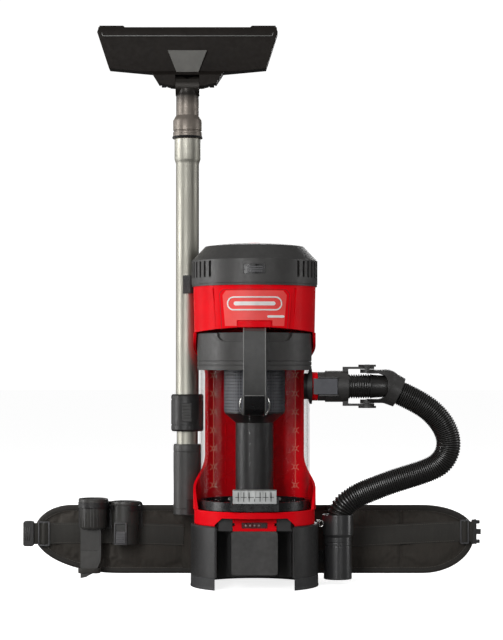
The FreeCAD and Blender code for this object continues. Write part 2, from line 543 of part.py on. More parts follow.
def make_harness():
    """Back plate with its pads, shoulder straps and grab handle."""
    plate = rounded_box(-60, 60, 106, 111.7, 140, 500, 18)
    tongue = box(-30, 30, BASE_R + 0.1, 111.7, 22, 150)
    boss_low = box(-40, 40, 92, 106, 200, 340).cut(cyl(FRAME_R + 0.02, 190, 350))
    boss_high = box(-40, 40, 92, 106, 448, 490).cut(housing_cone())
    parts["harness_plate"] = fuse(plate, tongue, boss_low, boss_high)
    parts["back_pad"] = rounded_box(-80, 80, BELT_Y, BELT_Y + BELT_T, 150, 480, 20)
    parts["lumbar_pad"] = box(-108, 108, BELT_Y, BELT_Y + BELT_T, BELT_LOW, BELT_TOP)
    front = [(BELT_Y + 0.2, 506), (132, 526), (152, 530), (170, 516), (186, 470), (190, 400),
             (186, 300), (166, 224), (146, 188), (126.5, 166)]
    rear = [(126.5, 182), (136, 196), (154, 230), (173, 304), (177, 400), (173, 464), (160, 500),
            (150, 514), (136, 511), (126.5, 496), (126.5, 482), (BELT_Y + 0.2, 482)]
    strap = yz_prism(front + rear, -78, -26)
    parts["shoulder_strap_left"] = strap
    parts["shoulder_strap_right"] = mirrored(strap)
    grip = cross_rod(7, -20, 20, 117, 543)
    corner = [Part.makeSphere(7, V(s * 20, 117, 543)) for s in (-1, 1)]
    posts = [box(s * 20 - 5, s * 20 + 5, 108.5, 120, 498, 543) for s in (-1, 1)]
    foot = box(-25, 25, 108.5, 111.7, 480, 520)
    parts["grab_handle"] = cut(fuse(grip, *corner, *posts, foot), box(-61, 61, 100, 111.8, 400, 500.02))


def wing_solid(top_reach, low_reach):
    """Padded belt wing on the -X side: straight at its root, round at its free end."""
    root, mid = -WING_PIVOT_X - 7, BELT_LOW + 70
    tip = V(-WING_TIP, 0, mid)
    top_start = V(-WING_TIP + top_reach, 0, BELT_TOP)
    low_end = V(-WING_TIP + low_reach, 0, BELT_LOW)
    above_tip, below_tip = tip + Z * (0.56 * (BELT_TOP - mid)), tip - Z * (0.56 * (mid - BELT_LOW))
    top_curve, low_curve = Part.BezierCurve(), Part.BezierCurve()
    top_curve.setPoles([top_start, top_start - X * (0.56 * top_reach), above_tip, tip])
    low_curve.setPoles([tip, below_tip, low_end - X * (0.56 * low_reach), low_end])
    edges = [
        Part.LineSegment(V(root, 0, BELT_TOP), top_start).toShape(),
        top_curve.toShape(),
        low_curve.toShape(),
        Part.LineSegment(low_end, V(root, 0, BELT_LOW)).toShape(),
        Part.LineSegment(V(root, 0, BELT_LOW), V(root, 0, BELT_TOP)).toShape(),
    ]
    face = Part.Face(Part.Wire(edges))
    face.translate(V(0, BELT_Y, 0))
    return face.extrude(V(0, BELT_T, 0))


def ladder(x0, x1, z0, z1):
    """Slider with two slots, lying on the front of the belt."""
    middle = (x0 + x1) / 2
    frame = rounded_box(x0, x1, BELT_Y - 5, BELT_Y - 0.3, z0, z1, 3)
    gaps = ((x0 + 3, middle - 1.6), (middle + 1.6, x1 - 3))
    return cut(frame, *[box(low, high, 100, 115, z0 + 4, z1 - 4) for low, high in gaps])


def make_buckle():
    """Side-release buckle: socket and slider on the left wing, plug and slider on the right."""
    shell = cut(rounded_box(-405, -386.6, 107, 121, 55, 99, 4), box(-406, -389.5, 110, 118, 61, 93))
    parts["buckle_socket"] = Part.makeCompound([shell, ladder(-379, -358, 55, 99)])
    bar = rounded_box(380.5, 386, 107, 111.7, 59, 102, 2)
    post = box(386, 389, 107, 119, 59, 102)
    prongs = [box(388, 395, 110.5, 117.5, z, z + 6) for z in (60.5, 94.5)]
    prongs.append(box(388, 397, 111, 117, 76, 85))
    parts["buckle_plug"] = Part.makeCompound([fuse(bar, post, *prongs), ladder(360, 376, 59, 102)])


def make_tools():
    """Tool holder on the left wing, with the crevice tool and the brush tool that it carries."""
    plate = rounded_box(-308, -196, BELT_Y - 3.4, BELT_Y - 0.3, 86, 134, 6)
    spots = ((CREVICE_X, CREVICE_RIM - 16), (BRUSH_X, BRUSH_RIM - 16))
    hoops = [ring(26.4, TOOL_R + GAP, z, z + 9, x, TOOL_Y) for x, z in spots]
    arms = [box(x - 14, x + 14, 100, 110, z, z + 9) for x, z in spots]
    bores = [cyl(TOOL_R + GAP, 60, 160, x, TOOL_Y) for x, _ in spots]
    way_out = box(BRUSH_X - 19, BRUSH_X + 7, TOOL_Y - 40, TOOL_Y - 10, 100, 150)
    parts["tool_holder"] = cut(fuse(plate, *hoops, *arms), *bores, way_out)

    rim = CREVICE_RIM
    body = revolved([(20.6, 100), (20.6, rim), (24.4, rim), (26, rim - 1.6), (26, rim - 6.6),
                     (TOOL_R, rim - 6.6), (TOOL_R, 92), (21, 88), (0, 88), (0, 100)], CREVICE_X, TOOL_Y)
    blade = [(-301.5, 3), (-292, 5), (-281, 11), (-272, 21), (-267, 32), (-266, 40), (-266, 90),
             (-301.5, 90)]
    duct = box(-299.6, -268.4, TOOL_Y - 7.4, TOOL_Y + 7.4, -5, 101)
    step = xz_prism([(-306, 50), (-260, 50), (-260, 51.4), (-306, 51.4)], TOOL_Y - 12, TOOL_Y - 8.8)
    parts["crevice_tool"] = cut(fuse(body, xz_prism(blade, TOOL_Y - 9.5, TOOL_Y + 9.5)), duct, step)

    rim = BRUSH_RIM
    body = revolved([(17.5, 62), (22, 62), (22.4, 64), (22.4, 92), (TOOL_R, 96), (TOOL_R, rim - 6.6),
                     (24.4, rim - 6.6), (24.6, rim - 5), (24.6, rim - 1), (24, rim), (20.6, rim),
                     (20.6, 100), (17.5, 98)], BRUSH_X, TOOL_Y)
    track_x0, track_x1 = BRUSH_X - 17, BRUSH_X + 5
    front = TOOL_Y - 26.5
    track = box(track_x0, track_x1, front, TOOL_Y - 12, 62, 101).cut(cyl(21, 50, 110, BRUSH_X, TOOL_Y))
    window = box(track_x0 + 2.4, track_x1 - 2.4, front - 5, front + 3.2, 64.4, 98.6)
    inside = [cyl(20.6, 100, 150, BRUSH_X, TOOL_Y), cyl(17.5, 50, 99, BRUSH_X, TOOL_Y)]
    parts["brush_tool"] = cut(fuse(body, track), window, *inside)
    slider = box(track_x0 + 2.9, track_x1 - 2.9, front - 1.2, front + 2.7, 65, 85)
    ridge = box(track_x0 + 4, track_x1 - 4, front - 2.4, front - 1, 68, 69.8)
    ridges = [ridge.translated(V(0, 0, rise)) for rise in range(0, 15, 4)]
    parts["brush_slider"] = fuse(slider, *ridges)


def make_screws():
    """Cross-head screws round the motor housing's back."""
    screws = []
    for a in (128, 152, 208, 232):
        head = Part.makeCylinder(3.2, 2.2, V(0, -HOUSING_R + 0.9, 452), -Y)
        slot = box(-0.5, 0.5, -HOUSING_R - 4, -HOUSING_R - 0.4, 450, 454)
        screws.append(turned(cut(head, slot, housing_cone()), a))
    parts["housing_screws"] = Part.makeCompound(screws)


def main():
    """Builds every sub-part and writes one STEP file for each."""
    builders = (make_base, make_battery, make_frame, make_housing, make_cap, make_motor, make_bin,
                make_coupler, make_hose, make_wand, make_floor_tool, make_harness, make_buckle,
                make_tools, make_screws)
    for build in builders:
        build()
    parts["belt_wing_left"] = wing_solid(66, 150)
    parts["belt_wing_right"] = mirrored(wing_solid(92, 92))
    os.makedirs("parts", exist_ok=True)
    for name, shape in parts.items():
        if not shape.isValid() or any(solid.Volume <= 0 for solid in shape.Solids):
            print(name, "is not a valid solid")
        shape.exportStep(f"parts/{name}.step")
    print(len(parts), "sub-parts")


main()
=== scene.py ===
"""Backpack vacuum cleaner: the looks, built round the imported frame.

Metres, in the frame of the CAD model: +Z up, the canister stands on its feet and faces -Y,
the wearer is on the +Y side.
"""

import json
import math

import bmesh
import bpy
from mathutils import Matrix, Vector, kdtree, noise

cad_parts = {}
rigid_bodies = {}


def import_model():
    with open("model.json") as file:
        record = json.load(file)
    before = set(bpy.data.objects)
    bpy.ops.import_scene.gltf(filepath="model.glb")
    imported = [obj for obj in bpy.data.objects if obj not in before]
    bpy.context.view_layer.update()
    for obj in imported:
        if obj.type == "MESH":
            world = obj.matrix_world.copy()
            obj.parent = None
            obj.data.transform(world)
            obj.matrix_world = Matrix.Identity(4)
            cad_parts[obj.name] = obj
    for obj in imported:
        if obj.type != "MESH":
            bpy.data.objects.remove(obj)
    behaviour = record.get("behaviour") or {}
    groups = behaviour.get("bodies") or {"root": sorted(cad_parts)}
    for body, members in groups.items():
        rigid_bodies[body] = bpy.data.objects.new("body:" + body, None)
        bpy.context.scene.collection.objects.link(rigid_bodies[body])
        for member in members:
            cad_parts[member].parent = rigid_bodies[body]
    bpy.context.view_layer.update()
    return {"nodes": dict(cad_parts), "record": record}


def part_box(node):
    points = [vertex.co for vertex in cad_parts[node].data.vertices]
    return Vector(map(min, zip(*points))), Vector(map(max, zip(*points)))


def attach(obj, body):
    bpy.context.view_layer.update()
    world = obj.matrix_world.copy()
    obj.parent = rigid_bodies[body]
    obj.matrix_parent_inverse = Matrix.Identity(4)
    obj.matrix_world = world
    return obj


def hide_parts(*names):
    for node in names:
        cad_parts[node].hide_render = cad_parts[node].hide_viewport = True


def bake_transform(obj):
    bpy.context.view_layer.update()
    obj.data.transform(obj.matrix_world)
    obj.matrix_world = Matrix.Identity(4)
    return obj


for leftover in list(bpy.data.objects):
    bpy.data.objects.remove(leftover)
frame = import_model()

scene = bpy.context.scene
nodes = frame["nodes"]
MM = 0.001
X, Y, Z = Vector((1, 0, 0)), Vector((0, 1, 0)), Vector((0, 0, 1))

# ---- places, read from the frame -------------------------------------------------------


def centre(node):
    """Middle of a CAD node's box."""
    low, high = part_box(node)
    return (low + high) / 2


def radius(node):
    """Half of a round node's width."""
    low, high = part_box(node)
    return (high.x - low.x) / 2


belt_low, belt_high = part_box("lumbar_pad")
belt_front, belt_back = belt_low.y, belt_high.y
belt_middle = (belt_front + belt_back) / 2
port = centre("port_ring")
FRAME_INNER_R = 99.5 * MM
SHROUD_R = radius("cyclone_shroud") - 3 * MM
HINGE_X = 115 * MM  # the belt wings' fold lines

CAMERA_AT = Vector((-0.0051, -3.3, 0.3726))
CAMERA_AIM = Vector((-0.0051, 0.0, 0.449))
CAMERA_LENS = 109.2

# Control points of the hose's middle line, from its elbow to its cuff.
HOSE_ROUTE = [
    (0.2430, 0.0000, 0.3270), (0.2790, 0.0000, 0.3105), (0.3080, 0.0005, 0.2885), (0.3270, 0.0015, 0.2605),
    (0.3310, 0.0030, 0.2305), (0.3170, 0.0050, 0.2045), (0.2890, 0.0075, 0.1910), (0.2400, 0.0110, 0.1760),
    (0.2030, 0.0145, 0.1620), (0.1720, 0.0175, 0.1490), (0.1485, 0.0195, 0.1305), (0.1420, 0.0200, 0.1065),
    (0.1420, 0.0200, 0.0840),
]
HOSE_R = 20.7 * MM
CLOTH_FRAMES = 20
SWELL_CAP = 3.6 * MM  # furthest that the simulation may push a point


# ---- materials -------------------------------------------------------------------------
def paint(red, green, blue):
    """Linear colour of an sRGB one given from 0 to 255."""
    linear = []
    for level in (red, green, blue):
        share = level / 255
        linear.append(share / 12.92 if share < 0.04045 else ((share + 0.055) / 1.055) ** 2.4)
    return (*linear, 1.0)


def times(colour, factor):
    """Colour made lighter or darker."""
    return (*(min(1.0, level * factor) for level in colour[:3]), 1.0)


class Look:
    """One procedural material, built round its Principled shader. Textures are in metres."""

    def __init__(self, name, **fixed):
        self.material = bpy.data.materials.new(name)
        self.material.use_nodes = True
        self.tree = self.material.node_tree
        self.shader = self.tree.nodes["Principled BSDF"]
        self.place = self.add("ShaderNodeTexCoord").outputs["Object"]
        self.finish(**fixed)

    def add(self, kind, inputs=None, **settings):
        """New node with its inputs set or linked."""
        made = self.tree.nodes.new(kind)
        for key, value in settings.items():
            setattr(made, key, value)
        for key, value in (inputs or {}).items():
            self.put(made.inputs[key], value)
        return made

    def put(self, socket, value):
        """Links a socket to another, or sets its value."""
        if isinstance(value, bpy.types.NodeSocket):
            self.tree.links.new(value, socket)
        else:
            socket.default_value = value

    def finish(self, **inputs):
        """Feeds the shader's sockets."""
        for socket, value in inputs.items():
            self.put(self.shader.inputs[socket.replace("_", " ")], value)
        return self.material

    def stretched(self, scale):
        """Texture coordinates scaled along each axis."""
        return self.add("ShaderNodeMapping", {"Vector": self.place, "Scale": scale}).outputs[0]

    def noise(self, scale, detail=2.0, place=None):
        """Noise with features about 1 / scale metres across."""
        inputs = {"Vector": place or self.place, "Scale": scale, "Detail": detail}
        return self.add("ShaderNodeTexNoise", inputs).outputs["Fac"]

    def ramp(self, value, low, high, start=0.35, end=0.65):
        """low to high as value goes from start to end."""
        inputs = {"Value": value, "From Min": start, "From Max": end, "To Min": low, "To Max": high}
        return self.add("ShaderNodeMapRange", inputs).outputs[0]

    def math(self, operation, a, b):
        """Sum, product or other operation of two numbers."""
        return self.add("ShaderNodeMath", {0: a, 1: b}, operation=operation).outputs[0]

    def mix(self, factor, a, b):
        """Colour from a to b."""
        return self.add("ShaderNodeMix", {0: factor, 6: a, 7: b}, data_type="RGBA").outputs[2]

    def bump(self, height, strength, distance):
        """Surface normal from a height."""
        inputs = {"Height": height, "Strength": strength, "Distance": distance}
        return self.add("ShaderNodeBump", inputs).outputs[0]

    def edges(self, amount):
        """Rubbed edges and painted edge highlights: high along sharp outer edges, broken up by noise."""
        pointy = self.add("ShaderNodeNewGeometry").outputs["Pointiness"]
        edge = self.ramp(pointy, 0.0, amount, 0.51, 0.60)
        return self.math("MULTIPLY", edge, self.ramp(self.noise(90, 4), 0.3, 1.0))


def plastic(name, colour, rough, grain=0.12, wear_and_highlight=0.3, worn_and_highlit=2.2, mottle=0.1, shade=None, **fixed):
    """Moulded plastic: fine spark-eroded grain, faint mottling, and sharp edges lightened as rubbed wear and
    as a painted highlight. It may darken over a range of heights, as painted shade."""
    look = Look(name, **fixed)
    cloud = look.ramp(look.noise(38, 3), 0, 1)
    tint = look.mix(cloud, times(colour, 1 - mottle), times(colour, 1 + mottle))
    # edge lightening: rubbed wear, and a painted highlight along sharp edges
    base = look.mix(look.edges(wear_and_highlight), tint, times(colour, worn_and_highlit))
    if shade:
        # painted shade: darker above the given height band
        height = look.add("ShaderNodeSeparateXYZ", {0: look.place}).outputs[2]
        base = look.mix(look.ramp(height, 0, 1, *shade), base, times(colour, 0.12))
    gloss = look.ramp(look.noise(160, 3), rough - 0.5 * mottle, rough + 0.6 * mottle)
    return look.finish(Base_Color=base, Roughness=gloss, Normal=look.bump(look.noise(1700), grain, 0.3 * MM))


def metal(name, colour, rough, marked=1.0):
    """Brushed or drawn metal, its marks running along Z."""
    look = Look(name, Metallic=1.0)
    marks = look.noise(1100, 3, look.stretched((1, 1, 0.012)))
    broad = look.noise(60, 2, look.stretched((1, 1, 0.25)))
    tint = look.mix(look.ramp(marks, 0, 1), times(colour, 1 - 0.14 * marked), times(colour, 1 + 0.1 * marked))
    tint = look.mix(look.ramp(broad, 0, 0.4 * marked), tint, times(colour, 0.82))
    gloss = look.ramp(look.math("ADD", marks, look.ramp(broad, -0.15, 0.15)), rough - 0.06, rough + 0.08)
    return look.finish(Base_Color=tint, Roughness=gloss, Normal=look.bump(marks, 0.12 * marked, 0.1 * MM))


def weave_height(look, thread):
    """Height of a plain weave whose threads run along Z and across it."""
    split = look.add("ShaderNodeSeparateXYZ", {0: look.place}).outputs
    across = look.math("ADD", split[0], split[1])
    turns = math.tau / thread
    warp = look.math("SINE", look.math("MULTIPLY", across, turns), 0.0)
    weft = look.math("SINE", look.math("MULTIPLY", split[2], turns), 0.0)
    return look.math("MULTIPLY_ADD", warp, weft)


def woven(name, colour, thread, rough=0.85, contrast=0.3, sheen=0.25):
    """Woven nylon: crossed threads, thread-to-thread shade and a faint sheen."""
    look = Look(name, Sheen_Weight=sheen, Sheen_Roughness=0.4, Sheen_Tint=(0.8, 0.75, 0.7, 1))
    weave = weave_height(look, thread)
    fibre = look.noise(900, 3)
    slub = look.noise(260, 2, look.stretched((1, 1, 0.15)))
    dark = times(colour, 1 - contrast)
    light = times(colour, 1 + contrast)
    tint = look.mix(look.ramp(weave, 0, 1, -0.8, 0.8), dark, light)
    tint = look.mix(look.ramp(look.noise(22, 3), 0, 0.35), tint, times(colour, 1.35))
    tint = look.mix(look.ramp(slub, 0, 0.25), tint, dark)
    height = look.math("ADD", weave, look.math("MULTIPLY", fibre, 0.8))
    gloss = look.ramp(fibre, rough - 0.06, rough + 0.08)
    return look.finish(Base_Color=tint, Roughness=gloss, Normal=look.bump(height, 0.35, 0.25 * MM))


def clear(name, tint, facing, edge):
    """Clear or smoked plastic: see-through face on, denser where it curves away."""
    look = Look(name, Roughness=0.06, Coat_Weight=0.25, Coat_Roughness=0.02, Specular_IOR_Level=0.4)
    turn = look.add("ShaderNodeLayerWeight", {"Blend": 0.35}).outputs["Facing"]
    haze = look.ramp(look.noise(70, 3), 0, 0.03)
    cover = look.math("ADD", look.ramp(turn, facing, edge, 0.35, 1.0), haze)
    shade = look.mix(look.ramp(look.noise(30, 2), 0, 1), times(tint, 0.85), times(tint, 1.15))
    return look.finish(Base_Color=shade, Alpha=cover, Normal=look.bump(look.noise(60, 2), 0.02, 0.2 * MM))


def pleated(name, colour):
    """Pleated filter paper, one face of every pleat darkened as painted shade."""
    look = Look(name, Roughness=0.95)
    split = look.add("ShaderNodeSeparateXYZ", {0: look.place}).outputs
    angle = look.math("ARCTAN2", split[1], split[0])
    fold = look.math("SINE", look.math("MULTIPLY", angle, 72.0), 0.0)
    # painted shade: one face of every pleat darkened
    tint = look.mix(look.ramp(fold, 0, 1, -1, 1), times(colour, 0.55), colour)
    tint = look.mix(look.ramp(look.noise(180, 3), 0, 0.3), tint, times(colour, 0.8))
    return look.finish(Base_Color=tint, Normal=look.bump(fold, 0.8, 1.2 * MM))


def circuit(name, colour):
    """Green circuit board with lighter tracks."""
    look = Look(name, Roughness=0.35)
    cells = look.add("ShaderNodeTexVoronoi", {"Vector": look.place, "Scale": 260}, distance="CHEBYCHEV")
    tracks = look.ramp(cells.outputs["Distance"], 1, 0, 0.25, 0.3)
    tint = look.mix(tracks, colour, times(colour, 2.2))
    return look.finish(Base_Color=tint, Normal=look.bump(tracks, 0.3, 0.1 * MM))


looks = {
    "red_shell": plastic("red_shell", paint(232, 5, 22), 0.45, 0.03, 0.2, 1.2, 0.04, Coat_Weight=0.03,
                         Coat_Roughness=0.15, Specular_IOR_Level=0.05),
    "charcoal": plastic("charcoal", paint(54, 53, 52), 0.46, 0.2, 0.4),
    "black_plastic": plastic("black_plastic", paint(31, 30, 30), 0.42, 0.16, 0.4),
    "boot_rubber": plastic("boot_rubber", paint(44, 44, 45), 0.55, 0.3, 0.2),
    "clear_bin": clear("clear_bin", paint(22, 22, 24), 0.02, 0.34),
    "smoke_latch": clear("smoke_latch", paint(216, 218, 217), 0.8, 0.96),
    "grey_plastic": plastic("grey_plastic", paint(82, 82, 84), 0.5, 0.2),
    "wand_metal": metal("wand_metal", paint(172, 170, 160), 0.46, marked=0.5),
    "bright_steel": metal("bright_steel", paint(205, 205, 202), 0.2),
    # strong edge lightening: painted highlights on the hose's rib crests
    "hose_rubber": plastic("hose_rubber", paint(31, 30, 29), 0.32, 0.12, 0.8, 3.4, Specular_IOR_Level=0.65),
    "belt_fabric": woven("belt_fabric", paint(51, 47, 42), 1.3 * MM, contrast=0.42),
    "filter_media": pleated("filter_media", paint(205, 203, 192)),
    "motor_steel": metal("motor_steel", paint(165, 163, 160), 0.35),
    "board_green": circuit("board_green", paint(24, 92, 48)),
}
webbing = woven("webbing", paint(43, 41, 37), 2.0 * MM, 0.7, 0.45, 0.15)
binding = woven("binding", paint(38, 35, 31), 0.9 * MM, 0.7, 0.3, 0.3)
spacer_mesh = woven("spacer_mesh", paint(50, 49, 48), 3.2 * MM, 0.9, 0.7, 0.4)
thread = plastic("thread", paint(80, 76, 70), 0.7, 0.3)
# near-black liner: painted shade behind openings
shade_liner = plastic("painted_shade_liner", paint(8, 8, 8), 0.9, 0.2, 0.0)
# painted shade: the neck darkens above 842 mm, next to the floor tool's head
gunmetal = plastic("gunmetal", paint(122, 114, 106), 0.4, 0.08, 0.3, shade=(0.822, 0.842), Metallic=0.5)
badge_grey = plastic("badge_grey", paint(232, 229, 226), 0.4, 0.05)
handle_grey = plastic("handle_grey", paint(50, 50, 49), 0.45, 0.25, 0.5, 2.6)
# lighter grey for thin lines and lips: painted edge highlights
highlight_grey = plastic("highlight_grey", paint(112, 112, 110), 0.32, 0.05, 0.4, 1.6)
gauge_dark = plastic("gauge_dark", paint(74, 14, 16), 0.3, 0.05, 0.2)
lamp_dim = plastic("lamp_dim", paint(150, 120, 118), 0.25, 0.02, Coat_Weight=0.6)
nozzle_brown = plastic("nozzle_brown", paint(27, 23, 20), 0.6, 0.25, 0.4, 2.4, Specular_IOR_Level=0.16)
hood_grey = plastic("hood_grey", paint(94, 93, 89), 0.5, 0.2, 0.2)
lid_black = plastic("lid_black", paint(20, 20, 21), 0.3, 0.08, 0.4)
coupler_grey = plastic("coupler_grey", paint(72, 73, 78), 0.4, 0.12, 0.4)
battery_black = plastic("battery_black", paint(56, 55, 54), 0.5, 0.7, 0.5, 2.4, 0.22)
cuff_black = plastic("cuff_black", paint(40, 40, 41), 0.3, 0.03, 0.2, 2.0, 0.03, Specular_IOR_Level=0.8,
                     Coat_Weight=1.0, Coat_Roughness=0.16)
tool_black = plastic("tool_black", paint(54, 53, 51), 0.4, 0.2, 0.5)
# lighter copy of the red: painted highlight on the outer knots
highlight_red = plastic("highlight_red", paint(255, 118, 98), 0.35, 0.05, 0.3, 1.3, Coat_Weight=0.3)
label_red = plastic("label_red", paint(242, 72, 68), 0.5, 0.1, 0.2, 1.2, 0.06)
seam_red = plastic("seam_red", paint(112, 4, 10), 0.6, 0.1, 0.0, 1.0, 0.05)
screen_grey = plastic("screen_grey", paint(84, 85, 90), 0.42, 0.1, 0.3)


# ---- mesh helpers ----------------------------------------------------------------------
def loft(rings, closed=False, capped=True):
    """Skin over rings of equal point counts; returns (points, faces)."""
    size = len(rings[0])
    points = [p for ring in rings for p in ring]
    faces = []
    for i in range(len(rings) if closed else len(rings) - 1):
        a, b = i * size, (i + 1) % len(rings) * size
        faces += [(a + j, a + (j + 1) % size, b + (j + 1) % size, b + j) for j in range(size)]
    if capped and not closed:
        faces.append(tuple(reversed(range(size))))
        faces.append(tuple(range(len(points) - size, len(points))))
    return points, faces


def merged(*solids):
    """Several (points, faces) as one."""
    points, faces = [], []
    for some_points, some_faces in solids:
        base = len(points)
        points += list(some_points)
        faces += [tuple(base + i for i in face) for face in some_faces]
    return points, faces


def slab(outline, push):
    """Closed outline of points pushed along a vector."""
    outline = [Vector(p) for p in outline]
    return loft([outline, [p + push for p in outline]])


def block(x0, x1, y0, y1, z0, z1, chamfer=0.0):
    """Axis-aligned bar, its four long edges along Y chamfered."""
    c = chamfer
    outline = [(x0 + c, z0), (x1 - c, z0), (x1, z0 + c), (x1, z1 - c), (x1 - c, z1), (x0 + c, z1),
               (x0, z1 - c), (x0, z0 + c)]
    if c == 0:
        outline = [(x0, z0), (x1, z0), (x1, z1), (x0, z1)]
    return slab([(x, y0, z) for x, z in outline], Vector((0, y1 - y0, 0)))


def even_angles(count):
    """Angles that divide a full turn."""
    return [math.tau * k / count for k in range(count)]


def turned(outline, at, axis=Z, segments=48):
    """Closed outline of (radius, height) points turned round an axis through a point."""
    side = axis.orthogonal().normalized()
    other = axis.cross(side)
    rings = []
    for angle in even_angles(segments):
        out = side * math.cos(angle) + other * math.sin(angle)
        rings.append([at + out * r + axis * h for r, h in outline])
    return loft(rings, closed=True)


def frames(path, closed=False):
    """(point, tangent) along a path."""
    count = len(path)
    made = []
    for i, p in enumerate(path):
        if closed:
            ahead, behind = path[(i + 1) % count], path[i - 1]
        else:
            ahead, behind = path[min(i + 1, count - 1)], path[max(i - 1, 0)]
        made.append((p, (ahead - behind).normalized()))
    return made


def ribbon(path, section, up=Y, closed=False):
    """Section of (across, up) points swept along a path, kept level with the up direction."""
    rings = []
    for p, tangent in frames(path, closed):
        across = tangent.cross(up).normalized()
        lift = across.cross(tangent)
        rings.append([p + across * a + lift * b for a, b in section])
    return loft(rings, closed)


def evenly(points, step, closed=False):
    """Points at equal steps along a line of points."""
    line = [Vector(p) for p in points]
    if closed:
        line.append(line[0])
    lengths = [(b - a).length for a, b in zip(line, line[1:])]
    total = sum(lengths)
    count = max(2, round(total / step))
    made, i, passed = [], 0, 0.0
    for k in range(count if closed else count + 1):
        target = min(total * k / count, total - 1e-9)
        while passed + lengths[i] < target:
            passed += lengths[i]
            i += 1
        made.append(line[i].lerp(line[i + 1], (target - passed) / lengths[i]))
    return made


def oval(width, height, segments=12):
    """Flat section with round ends."""
    r = height / 2
    half = max(width / 2 - r, 0)
    section = []
    for side in (1, -1):
        for k in range(segments // 2 + 1):
            angle = math.pi * k / (segments // 2) - math.pi / 2
            section.append((side * (half + r * math.cos(angle)), side * r * math.sin(angle)))
    return section


def round_edges(obj, width, sharper_than=30):
    """Rounds the edges that turn by more than an angle in degrees."""
    rounding = obj.modifiers.new("rounded", "BEVEL")
    rounding.width = width
    rounding.segments = 2
    rounding.limit_method = "ANGLE"
    rounding.angle_limit = math.radians(sharper_than)
    rounding.harden_normals = True


def piece(name, solid, look, body, bevel=0.0, smooth=35):
    """New object that rides on a body. Its edges may be rounded."""
    mesh = bpy.data.meshes.new(name)
    mesh.from_pydata([tuple(p) for p in solid[0]], [], solid[1])
    mesh.validate()
    tidy = bmesh.new()
    tidy.from_mesh(mesh)
    bmesh.ops.recalc_face_normals(tidy, faces=tidy.faces)
    tidy.to_mesh(mesh)
    tidy.free()
    mesh.shade_smooth()
    mesh.set_sharp_from_angle(angle=math.radians(smooth))
    mesh.materials.append(look)
    made = bpy.data.objects.new(name, mesh)
    scene.collection.objects.link(made)
    if bevel:
        round_edges(made, bevel)
    if body:
        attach(made, body)
    return made


# ---- camera, light and floor -----------------------------------------------------------
def make_camera():
    """Camera in front of the canister, a little below its middle."""
    data = bpy.data.cameras.new("camera")
    data.lens = CAMERA_LENS
    data.clip_end = 100
    camera = bpy.data.objects.new("camera", data)
    camera.location = CAMERA_AT
    camera.rotation_euler = (CAMERA_AIM - CAMERA_AT).to_track_quat("-Z", "Y").to_euler()
    scene.collection.objects.link(camera)
    scene.camera = camera


def softbox(name, at, aim, width, height, power):
    """Large soft area light."""
    data = bpy.data.lights.new(name, "AREA")
    data.shape = "RECTANGLE"
    data.size, data.size_y = width, height
    data.energy = power
    light = bpy.data.objects.new(name, data)
    light.location = at
    light.rotation_euler = (Vector(aim) - Vector(at)).to_track_quat("-Z", "Y").to_euler()
    scene.collection.objects.link(light)


def plain(name, colour, glow):
    """Plain stage surface, slightly lit of itself."""
    look = Look(name, Roughness=0.9, Emission_Strength=glow, Emission_Color=(1, 1, 1, 1))
    return look.finish(Base_Color=colour)


def make_stage():
    """Pale floor, white surround and soft studio light."""
    scene.view_settings.view_transform = "Standard"
    floor = piece("floor", turned([(0, -0.02), (26, -0.02), (26, -0.0004), (0, -0.0004)], Vector(), Z, 96),
                  plain("floor_white", (0.9, 0.9, 0.9, 1), 0.82), None)
    arc = [math.pi * k / 24 - math.pi / 2 for k in range(25)]
    dome = piece("surround", turned([(27 * math.cos(a), 27 * math.sin(a)) for a in arc], Vector(), Z, 64),
                 plain("surround_white", (0, 0, 0, 1), 1.05), None)
    for surface in (floor, dome):
        surface.visible_diffuse = False
        surface.visible_glossy = False
    dome.visible_shadow = False

    world = bpy.data.worlds.new("studio")
    world.use_nodes = True
    tree = world.node_tree
    direction = tree.nodes.new("ShaderNodeTexCoord").outputs["Generated"]
    split = tree.nodes.new("ShaderNodeSeparateXYZ")
    level = tree.nodes.new("ShaderNodeMapRange")
    for key, value in {"From Min": -0.15, "From Max": 0.9, "To Min": 0.10, "To Max": 0.20}.items():
        level.inputs[key].default_value = value
    tree.links.new(direction, split.inputs[0])
    tree.links.new(split.outputs[2], level.inputs["Value"])
    tree.links.new(level.outputs[0], tree.nodes["Background"].inputs["Color"])
    scene.world = world

    middle = (0, 0, 0.42)
    softbox("side_left", (-2.4, -0.25, 0.9), middle, 0.9, 2.0, 40)
    softbox("rim_left", (-2.5, 1.5, 0.9), middle, 0.9, 2.0, 10)
    softbox("side_right", (2.4, 0.05, 0.9), middle, 0.7, 2.0, 12)
    softbox("key", (-1.1, -3.0, 1.3), middle, 1.1, 1.6, 50)
    softbox("fill", (1.3, -3.0, 0.7), middle, 0.8, 1.2, 10)
    softbox("strip", (-0.6, -3.2, 0.32), (0, 0, 0.2), 0.2, 0.6, 5)
    softbox("top", (0, 0.1, 2.6), middle, 1.6, 1.6, 4)
    softbox("behind", (0.4, 3.0, 1.5), middle, 1.5, 1.2, 24)


